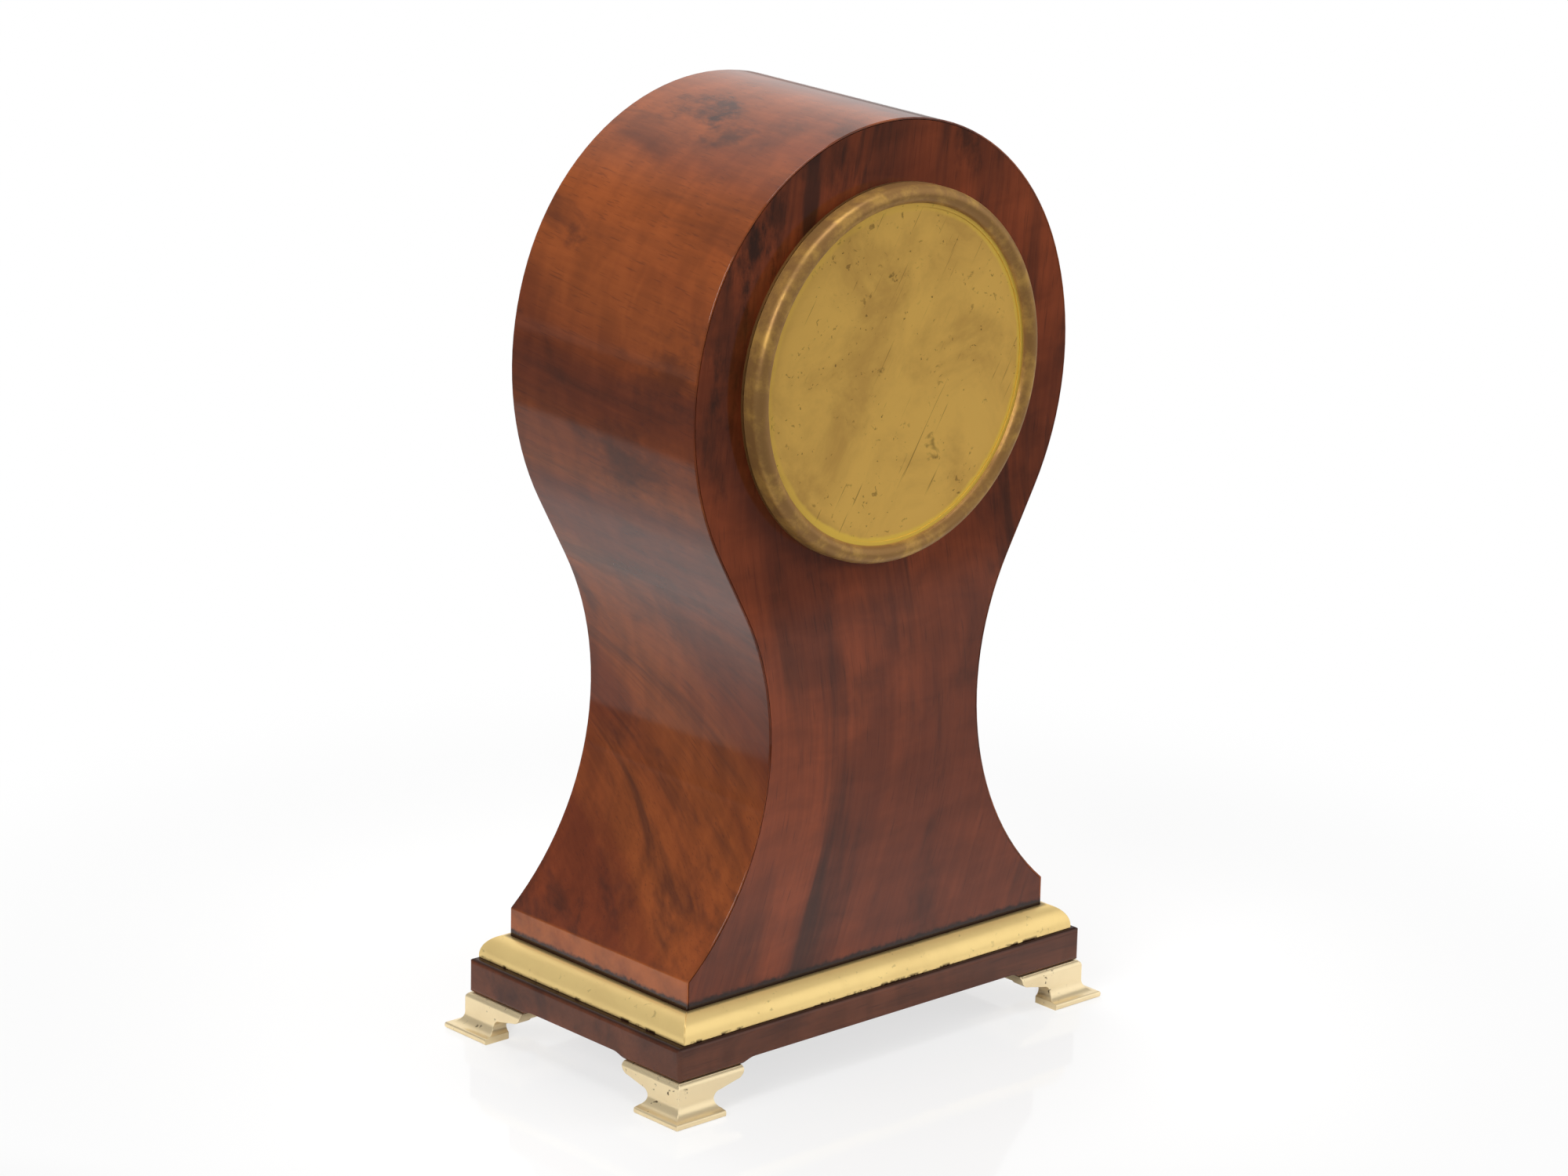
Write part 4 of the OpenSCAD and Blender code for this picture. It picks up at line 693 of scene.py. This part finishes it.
def material_named(name):
    """The named finish, made the first time that it is asked for."""
    found = bpy.data.materials.get(name)
    if found is not None:
        return found
    if name in VENEERS:
        return veneer_material(name, **VENEERS[name])
    if name in BRASSES:
        return brass_material(name, **BRASSES[name])
    return OTHER_FINISHES[name]()


# Pieces


def coat(node, material):
    """Gives a solid of the frame its finish."""
    slots = NODES[node].data.materials
    slots.clear()
    slots.append(material_named(material))


def piece_from(shape, name, material, body, stands_for=()):
    """Links a finished bmesh as a piece that rides on a body, or on none."""
    mesh = bpy.data.meshes.new(name)
    shape.to_mesh(mesh)
    shape.free()
    mesh.shade_smooth()
    piece = bpy.data.objects.new(name, mesh)
    bpy.context.scene.collection.objects.link(piece)
    mesh.materials.append(material_named(material))
    if body is not None:
        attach(piece, body)
    if stands_for:
        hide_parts(*stands_for)
    return piece


def soften(node, name, material, width, segments=3, merge_flats=True):
    """Adds a welded copy of a solid, its sharp edges rounded over, that stands for the solid."""
    flat = math.radians(0.1)
    sharp = math.radians(28)
    even_weight = 100
    shape = bmesh.new()
    shape.from_mesh(NODES[node].data)
    bmesh.ops.remove_doubles(shape, verts=shape.verts, dist=WELD)
    if merge_flats:
        bmesh.ops.dissolve_limit(shape, angle_limit=flat, verts=shape.verts, edges=shape.edges,
                                 delimit=set())
    corners = [edge for edge in shape.edges if edge.is_manifold and edge.calc_face_angle() > sharp]
    bmesh.ops.bevel(shape, geom=corners, offset=width, offset_type="OFFSET", segments=segments,
                    profile=0.5, affect="EDGES", clamp_overlap=True, material=-1)
    bmesh.ops.remove_doubles(shape, verts=shape.verts, dist=WELD)
    piece = piece_from(shape, name, material, BODY_OF[node], (node,))
    even = piece.modifiers.new("Even_shading", "WEIGHTED_NORMAL")
    even.mode = "FACE_AREA"
    even.weight = even_weight
    even.keep_sharp = True


class CLOCK_OT_case(Operator):
    """Dress the veneered case with softened edges"""

    bl_idname = "clock.case"
    bl_label = "Case"

    def execute(self, context):
        arris = context.scene.clock_veneer.arris
        soften("side_band", "veneered_band", "Side_veneer", arris, merge_flats=False)
        soften("front_panel", "front_board", "Front_veneer", arris / 2)
        soften("back_panel", "back_board", "Back_veneer", arris / 2)
        coat("bottom_board", "Plinth_wood")
        return {"FINISHED"}


class CLOCK_OT_base(Operator):
    """Dress the plinth, the mouldings and the bracket feet"""

    bl_idname = "clock.base"
    bl_label = "Base"

    def execute(self, context):
        edge = context.scene.clock_brass.edge
        plinth_edge = context.scene.clock_veneer.plinth_edge
        soften("plinth", "plinth_block", "Plinth_wood", plinth_edge)
        for side in ("front", "back", "left", "right"):
            soften(f"moulding_{side}", f"brass_moulding_{side}", "Moulding_brass",
                   edge)
        for corner in ("front_left", "front_right", "back_left", "back_right"):
            soften(f"foot_{corner}", f"bracket_foot_{corner}", "Foot_brass", edge)
        for screws in ("foot_screws", "base_screws"):
            coat(screws, "Polished_steel")
        return {"FINISHED"}


class CLOCK_OT_back_cover(Operator):
    """Dress the push-fit back cover and its fixed ring"""

    bl_idname = "clock.back_cover"
    bl_label = "Back cover"

    def execute(self, context):
        coat("back_cover", "Cover_brass")
        coat("back_ring", "Ring_brass")
        return {"FINISHED"}


class CLOCK_OT_bezel(Operator):
    """Dress the hinged bezel and its glass"""

    bl_idname = "clock.bezel"
    bl_label = "Bezel"

    def execute(self, context):
        for node in ("bezel_flange", "bezel_door", "bezel_hinge_pin"):
            coat(node, "Bezel_brass")
        coat("bezel_glass", "Old_glass")
        return {"FINISHED"}


def stroke(shape, start, end, width, depth):
    """Adds one painted stroke between two points, given across and up from the dial's middle."""
    along = Vector((end[0] - start[0], 0, end[1] - start[1]))
    middle = Vector(((start[0] + end[0]) / 2, 0, (start[1] + end[1]) / 2))
    outward = Vector((0, 1, 0))
    upward = along.normalized()
    turn = Matrix((outward.cross(upward), outward, upward)).transposed().to_4x4()
    size = Matrix.Diagonal((width, depth, along.length, 1))
    bmesh.ops.create_cube(shape, size=1.0, matrix=Matrix.Translation(middle) @ turn @ size)


def numeral(shape, text, low, high, heavy, hair, depth):
    """Adds an upright Roman numeral between two heights, drawn from heavy and light strokes."""
    # The letters' widths and gap are counted in heavy strokes
    widths = {"I": 1.0, "V": 2.5, "X": 2.6}
    gap = 0.55
    across = sum(widths[letter] for letter in text) + gap * (len(text) - 1)
    left = -across / 2
    for letter in text:
        right = left + widths[letter]
        x0, x1 = left * heavy, right * heavy
        middle = (x0 + x1) / 2
        if letter == "I":
            stroke(shape, (middle, low), (middle, high), heavy, depth)
        elif letter == "V":
            stroke(shape, (middle, low), (x0 + heavy / 2, high), heavy, depth)
            stroke(shape, (middle, low), (x1 - hair, high), hair, depth)
        else:
            stroke(shape, (x1 - heavy / 2, low), (x0 + heavy / 2, high), heavy, depth)
            stroke(shape, (x0 + hair, low), (x1 - hair, high), hair, depth)
        left = right + gap
    edge = across * heavy / 2 + hair
    for level in (low, high):
        stroke(shape, (-edge, level), (edge, level), hair, depth)


def ring(shape, radius, width, depth):
    """Adds a thin flat ring about the dial's axis."""
    steps = 120
    corners = [(radius - width / 2, -depth / 2), (radius + width / 2, -depth / 2),
               (radius + width / 2, depth / 2), (radius - width / 2, depth / 2)]
    verts = [shape.verts.new((r, y, 0)) for r, y in corners]
    edges = [shape.edges.new((verts[i], verts[(i + 1) % 4])) for i in range(4)]
    bmesh.ops.spin(shape, geom=verts + edges, cent=(0, 0, 0), axis=(0, 1, 0), dvec=(0, 0, 0),
                   angle=math.tau, steps=steps, use_merge=True)


def hour_circle(dial, texts):
    """The numerals round the dial, as a bmesh about its middle."""
    hours = bmesh.new()
    for place, text in enumerate(texts):
        one = bmesh.new()
        numeral(one, text, dial.chapter_inner, dial.chapter_outer, dial.stroke, dial.hair,
                dial.paint)
        one.transform(Matrix.Rotation(math.tau * place / len(texts), 4, "Y"))
        painted = bpy.data.meshes.new("numeral")
        one.to_mesh(painted)
        one.free()
        hours.from_mesh(painted)
        bpy.data.meshes.remove(painted)
    return hours


def minute_circle(dial, widening):
    """The minute track between its two rings, as a bmesh about the dial's middle."""
    track = bmesh.new()
    for radius in (dial.track_inner, dial.track_outer):
        ring(track, radius, dial.hair / 2, dial.paint)
    for mark in range(dial.minutes):
        angle = math.tau * mark / dial.minutes
        width = dial.hair * (widening if mark % 5 == 0 else 1)
        direction = Vector((math.sin(angle), math.cos(angle)))
        start, end = direction * dial.track_inner, direction * dial.track_outer
        stroke(track, start, end, width, dial.paint)
    return track


def paint_on_dial(shape, name, on_dial):
    """Lays strokes on the dial and links them as one piece with flat faces."""
    shape.transform(on_dial)
    bmesh.ops.recalc_face_normals(shape, faces=shape.faces)
    piece_from(shape, name, "Fired_black", "case").data.shade_flat()


class CLOCK_OT_dial(Operator):
    """Dress the enamel dial and paint its numerals and minute track"""

    bl_idname = "clock.dial"
    bl_label = "Dial"

    numerals = ("XII", "I", "II", "III", "IIII", "V", "VI", "VII", "VIII", "IX", "X", "XI")
    hour_mark_widening = 2.6

    def execute(self, context):
        dial = context.scene.clock_dial
        coat("dial", "White_enamel")
        coat("dial_plate", "Train_brass")
        on_dial = Matrix.Translation((DIAL_AXIS.x, DIAL_FRONT_Y - dial.paint / 2, DIAL_AXIS.z))
        paint_on_dial(hour_circle(dial, self.numerals), "dial_numerals", on_dial)
        paint_on_dial(minute_circle(dial, self.hour_mark_widening), "minute_track", on_dial)
        return {"FINISHED"}


class CLOCK_OT_hands(Operator):
    """Dress the blued hands"""

    bl_idname = "clock.hands"
    bl_label = "Hands"

    def execute(self, context):
        edge = 0.12 * MM
        for hand in ("hour_hand", "minute_hand"):
            soften(hand, f"blued_{hand}", "Blued_steel", edge, segments=2)
        coat("hand_nut", "Bezel_brass")
        return {"FINISHED"}


class CLOCK_OT_movement(Operator):
    """Finish the brass and steel of the movement, and put a welded copy in place of the click's
    spring
    """

    bl_idname = "clock.movement"
    bl_label = "Movement"

    spring_boss = 3.8 * MM
    steel_nodes = ("strap_screws", "plate_screws", "mainspring", "barrel_arbor", "ratchet_wheel",
                   "click", "click_screw", "escape_wheel", "pallet_lever", "regulator_index",
                   "platform_screws")
    brass_nodes = ("movement_straps", "front_plate", "back_plate", "pillars", "barrel",
                   "barrel_cover", "intermediate_wheel", "centre_wheel", "third_wheel",
                   "fourth_wheel", "escapement_bridge", "balance_wheel", "balance_cock",
                   "platform_plate", "cannon_pinion", "minute_wheel", "hour_wheel")

    def execute(self, context):
        for node in self.steel_nodes:
            coat(node, "Polished_steel")
        for node in self.brass_nodes:
            coat(node, "Train_brass")
        coat("balance_spring", "Blued_steel")
        leaf = bmesh.new()
        leaf.from_mesh(NODES["click_spring"].data)
        bmesh.ops.remove_doubles(leaf, verts=leaf.verts, dist=WELD)
        spring = piece_from(leaf, "click_leaf", "Polished_steel", None, ("click_spring",))
        spring.data.shade_flat()
        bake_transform(spring)
        return {"FINISHED"}


# Stage


def camera_matrix(stage):
    """The camera's place and turn, from its bearing, height angle, roll and distance."""
    level = math.cos(stage.elevation)
    back = Vector((math.sin(stage.azimuth) * level, -math.cos(stage.azimuth) * level,
                   math.sin(stage.elevation)))
    right = UP.cross(back).normalized()
    up = back.cross(right)
    rolled_right = right * math.cos(stage.roll) + up * math.sin(stage.roll)
    rolled_up = up * math.cos(stage.roll) - right * math.sin(stage.roll)
    turn = Matrix((rolled_right, rolled_up, back)).transposed().to_4x4()
    return Matrix.Translation(Vector(stage.target) + back * stage.distance) @ turn


def place_camera(stage):
    """Sets up the camera that sees the clock as the photograph does."""
    lens = bpy.data.cameras.new("Photo_camera")
    lens.sensor_fit = "HORIZONTAL"
    lens.sensor_width = 36
    lens.lens = stage.lens
    lens.clip_start = 0.05
    camera = bpy.data.objects.new("Photo_camera", lens)
    camera.matrix_world = camera_matrix(stage)
    bpy.context.scene.collection.objects.link(camera)
    bpy.context.scene.camera = camera


def backdrop_share(tree, glossy):
    """Where the backdrop shows: to the camera, through glass and, in part, in reflections."""
    path = put(tree, "ShaderNodeLightPath").outputs
    reflected = maths(tree, "MULTIPLY", path["Is Glossy Ray"], glossy)
    seen = maths(tree, "MAXIMUM", path["Is Camera Ray"], path["Is Transmission Ray"])
    return maths(tree, "MAXIMUM", seen, reflected)


def floor_material(stage):
    """A floor that shows as white but keeps a soft shadow, with a bright table top on it."""
    material, tree, shader = new_material("Pale_floor")
    under_clock = (0.93, 0.93, 0.92, 1)
    table_top = grey(0.52)
    x, y, _ = split(tree, object_place(tree))
    level = joined(tree, x, y, 0.0)
    away = measure(tree, "LENGTH", level)
    from_middle = measure(tree, "DISTANCE", level, stage.table_middle)
    edge = ramp(tree, from_middle, stage.table_r - stage.table_rim, stage.table_r + stage.table_rim)
    near_tone = blend(tree, ramp(tree, away, 0.1, 0.28), under_clock, table_top)
    tone = blend(tree, edge, near_tone, grey(stage.room))
    behind = measure(tree, "DOT_PRODUCT", level, stage.backdrop)
    tone = blend(tree, ramp(tree, behind, 0.5, 0.75), tone, grey(stage.sweep))
    tree.links.new(tone, shader.inputs["Base Color"])
    shader.inputs["Roughness"].default_value = 0.06
    shader.inputs["Specular IOR Level"].default_value = 0.9
    glow = put(tree, "ShaderNodeEmission", {"Color": grey(1.0), "Strength": 1.0})
    shown = put(tree, "ShaderNodeMixShader", {
        0: ramp(tree, away, 0.1, 0.3, 0.7, 1.0), 1: shader.outputs[0], 2: glow.outputs[0]})
    matt = put(tree, "ShaderNodeBsdfDiffuse", {"Color": tone})
    mixed = put(tree, "ShaderNodeMixShader", {
        0: backdrop_share(tree, stage.mirrored), 1: matt.outputs[0], 2: shown.outputs[0]})
    out = next(node for node in tree.nodes if node.type == "OUTPUT_MATERIAL")
    tree.links.new(mixed.outputs[0], out.inputs["Surface"])
    return material


def lay_floor(stage):
    """Lays the floor under the clock."""
    shape = bmesh.new()
    bmesh.ops.create_grid(shape, x_segments=1, y_segments=1, size=stage.floor_size / 2)
    mesh = bpy.data.meshes.new("floor")
    shape.to_mesh(mesh)
    shape.free()
    floor = bpy.data.objects.new("floor", mesh)
    bpy.context.scene.collection.objects.link(floor)
    mesh.materials.append(floor_material(stage))


def build_world(stage):
    """A grey studio that shows as white behind the clock."""
    world = bpy.data.worlds.new("Studio")
    bpy.context.scene.world = world
    world.use_nodes = True
    tree = world.node_tree
    tree.nodes.clear()
    direction = put(tree, "ShaderNodeTexCoord").outputs["Generated"]
    facing = measure(tree, "DOT_PRODUCT", direction, stage.backdrop)
    studio = blend(tree, ramp(tree, facing, 0.66, 0.98), grey(stage.room), grey(stage.sweep))
    colour = blend(tree, backdrop_share(tree, stage.mirrored), studio, grey(1.0))
    back = put(tree, "ShaderNodeBackground", {"Color": colour, "Strength": 1.0})
    out = tree.nodes.new("ShaderNodeOutputWorld")
    tree.links.new(back.outputs[0], out.inputs["Surface"])


def softbox(name, place, aim, size, power, mirrored):
    """A square soft light at a place, turned to a point; mirrored lets reflections show it."""
    lamp = bpy.data.lights.new(name, "AREA")
    lamp.shape = "SQUARE"
    lamp.size = size
    lamp.energy = power
    light = bpy.data.objects.new(name, lamp)
    light.location = place
    light.rotation_euler = (Vector(place) - Vector(aim)).to_track_quat("Z", "Y").to_euler()
    light.visible_camera = False
    light.visible_glossy = mirrored
    bpy.context.scene.collection.objects.link(light)


class CLOCK_OT_stage(Operator):
    """Set the camera, the pale floor and the soft light"""

    bl_idname = "clock.stage"
    bl_label = "Stage"

    # Name, place, size, power, and whether reflections show the light
    softboxes = (
        ("Key", (1.35, 0.4, 1.0), 0.7, 14.0, True),
        ("Fill", (-1.25, 1.0, 0.5), 1.6, 7.5, True),
        ("Lift", (-1.25, 1.0, 0.5), 0.8, 10.0, False),
        ("Top", (0.1, 0.0, 1.5), 0.8, 10.0, True),
        ("Front", (-0.5, -1.4, 0.8), 1.0, 12.0, False),
    )

    def execute(self, context):
        stage = context.scene.clock_stage
        place_camera(stage)
        lay_floor(stage)
        build_world(stage)
        for name, place, size, power, mirrored in self.softboxes:
            softbox(name, place, stage.light_aim, size, power, mirrored)
        context.scene.view_settings.view_transform = "Standard"
        return {"FINISHED"}


class CLOCK_PT_panel(Panel):
    """Lists the steps that dress the clock"""

    bl_label = "Balloon Clock"
    bl_idname = "CLOCK_PT_panel"
    bl_space_type = "VIEW_3D"
    bl_region_type = "UI"
    bl_category = "Clock"

    def draw(self, context):
        for step in STEPS:
            self.layout.operator(step.bl_idname)


SETTINGS = {"clock_veneer": VeneerSettings, "clock_brass": BrassSettings,
            "clock_dial": DialSettings, "clock_stage": StageSettings}
STEPS = (CLOCK_OT_stage, CLOCK_OT_case, CLOCK_OT_base, CLOCK_OT_back_cover, CLOCK_OT_bezel,
         CLOCK_OT_dial, CLOCK_OT_hands, CLOCK_OT_movement)
CLASSES = (*SETTINGS.values(), *STEPS, CLOCK_PT_panel)


def register():
    for cls in CLASSES:
        bpy.utils.register_class(cls)
    for name, group in SETTINGS.items():
        setattr(bpy.types.Scene, name, PointerProperty(type=group))


def unregister():
    for name in SETTINGS:
        delattr(bpy.types.Scene, name)
    for cls in reversed(CLASSES):
        bpy.utils.unregister_class(cls)


def main():
    register()
    for step in STEPS:
        category, action = step.bl_idname.split(".")
        getattr(getattr(bpy.ops, category), action)()


if __name__ == "__main__":
    main()
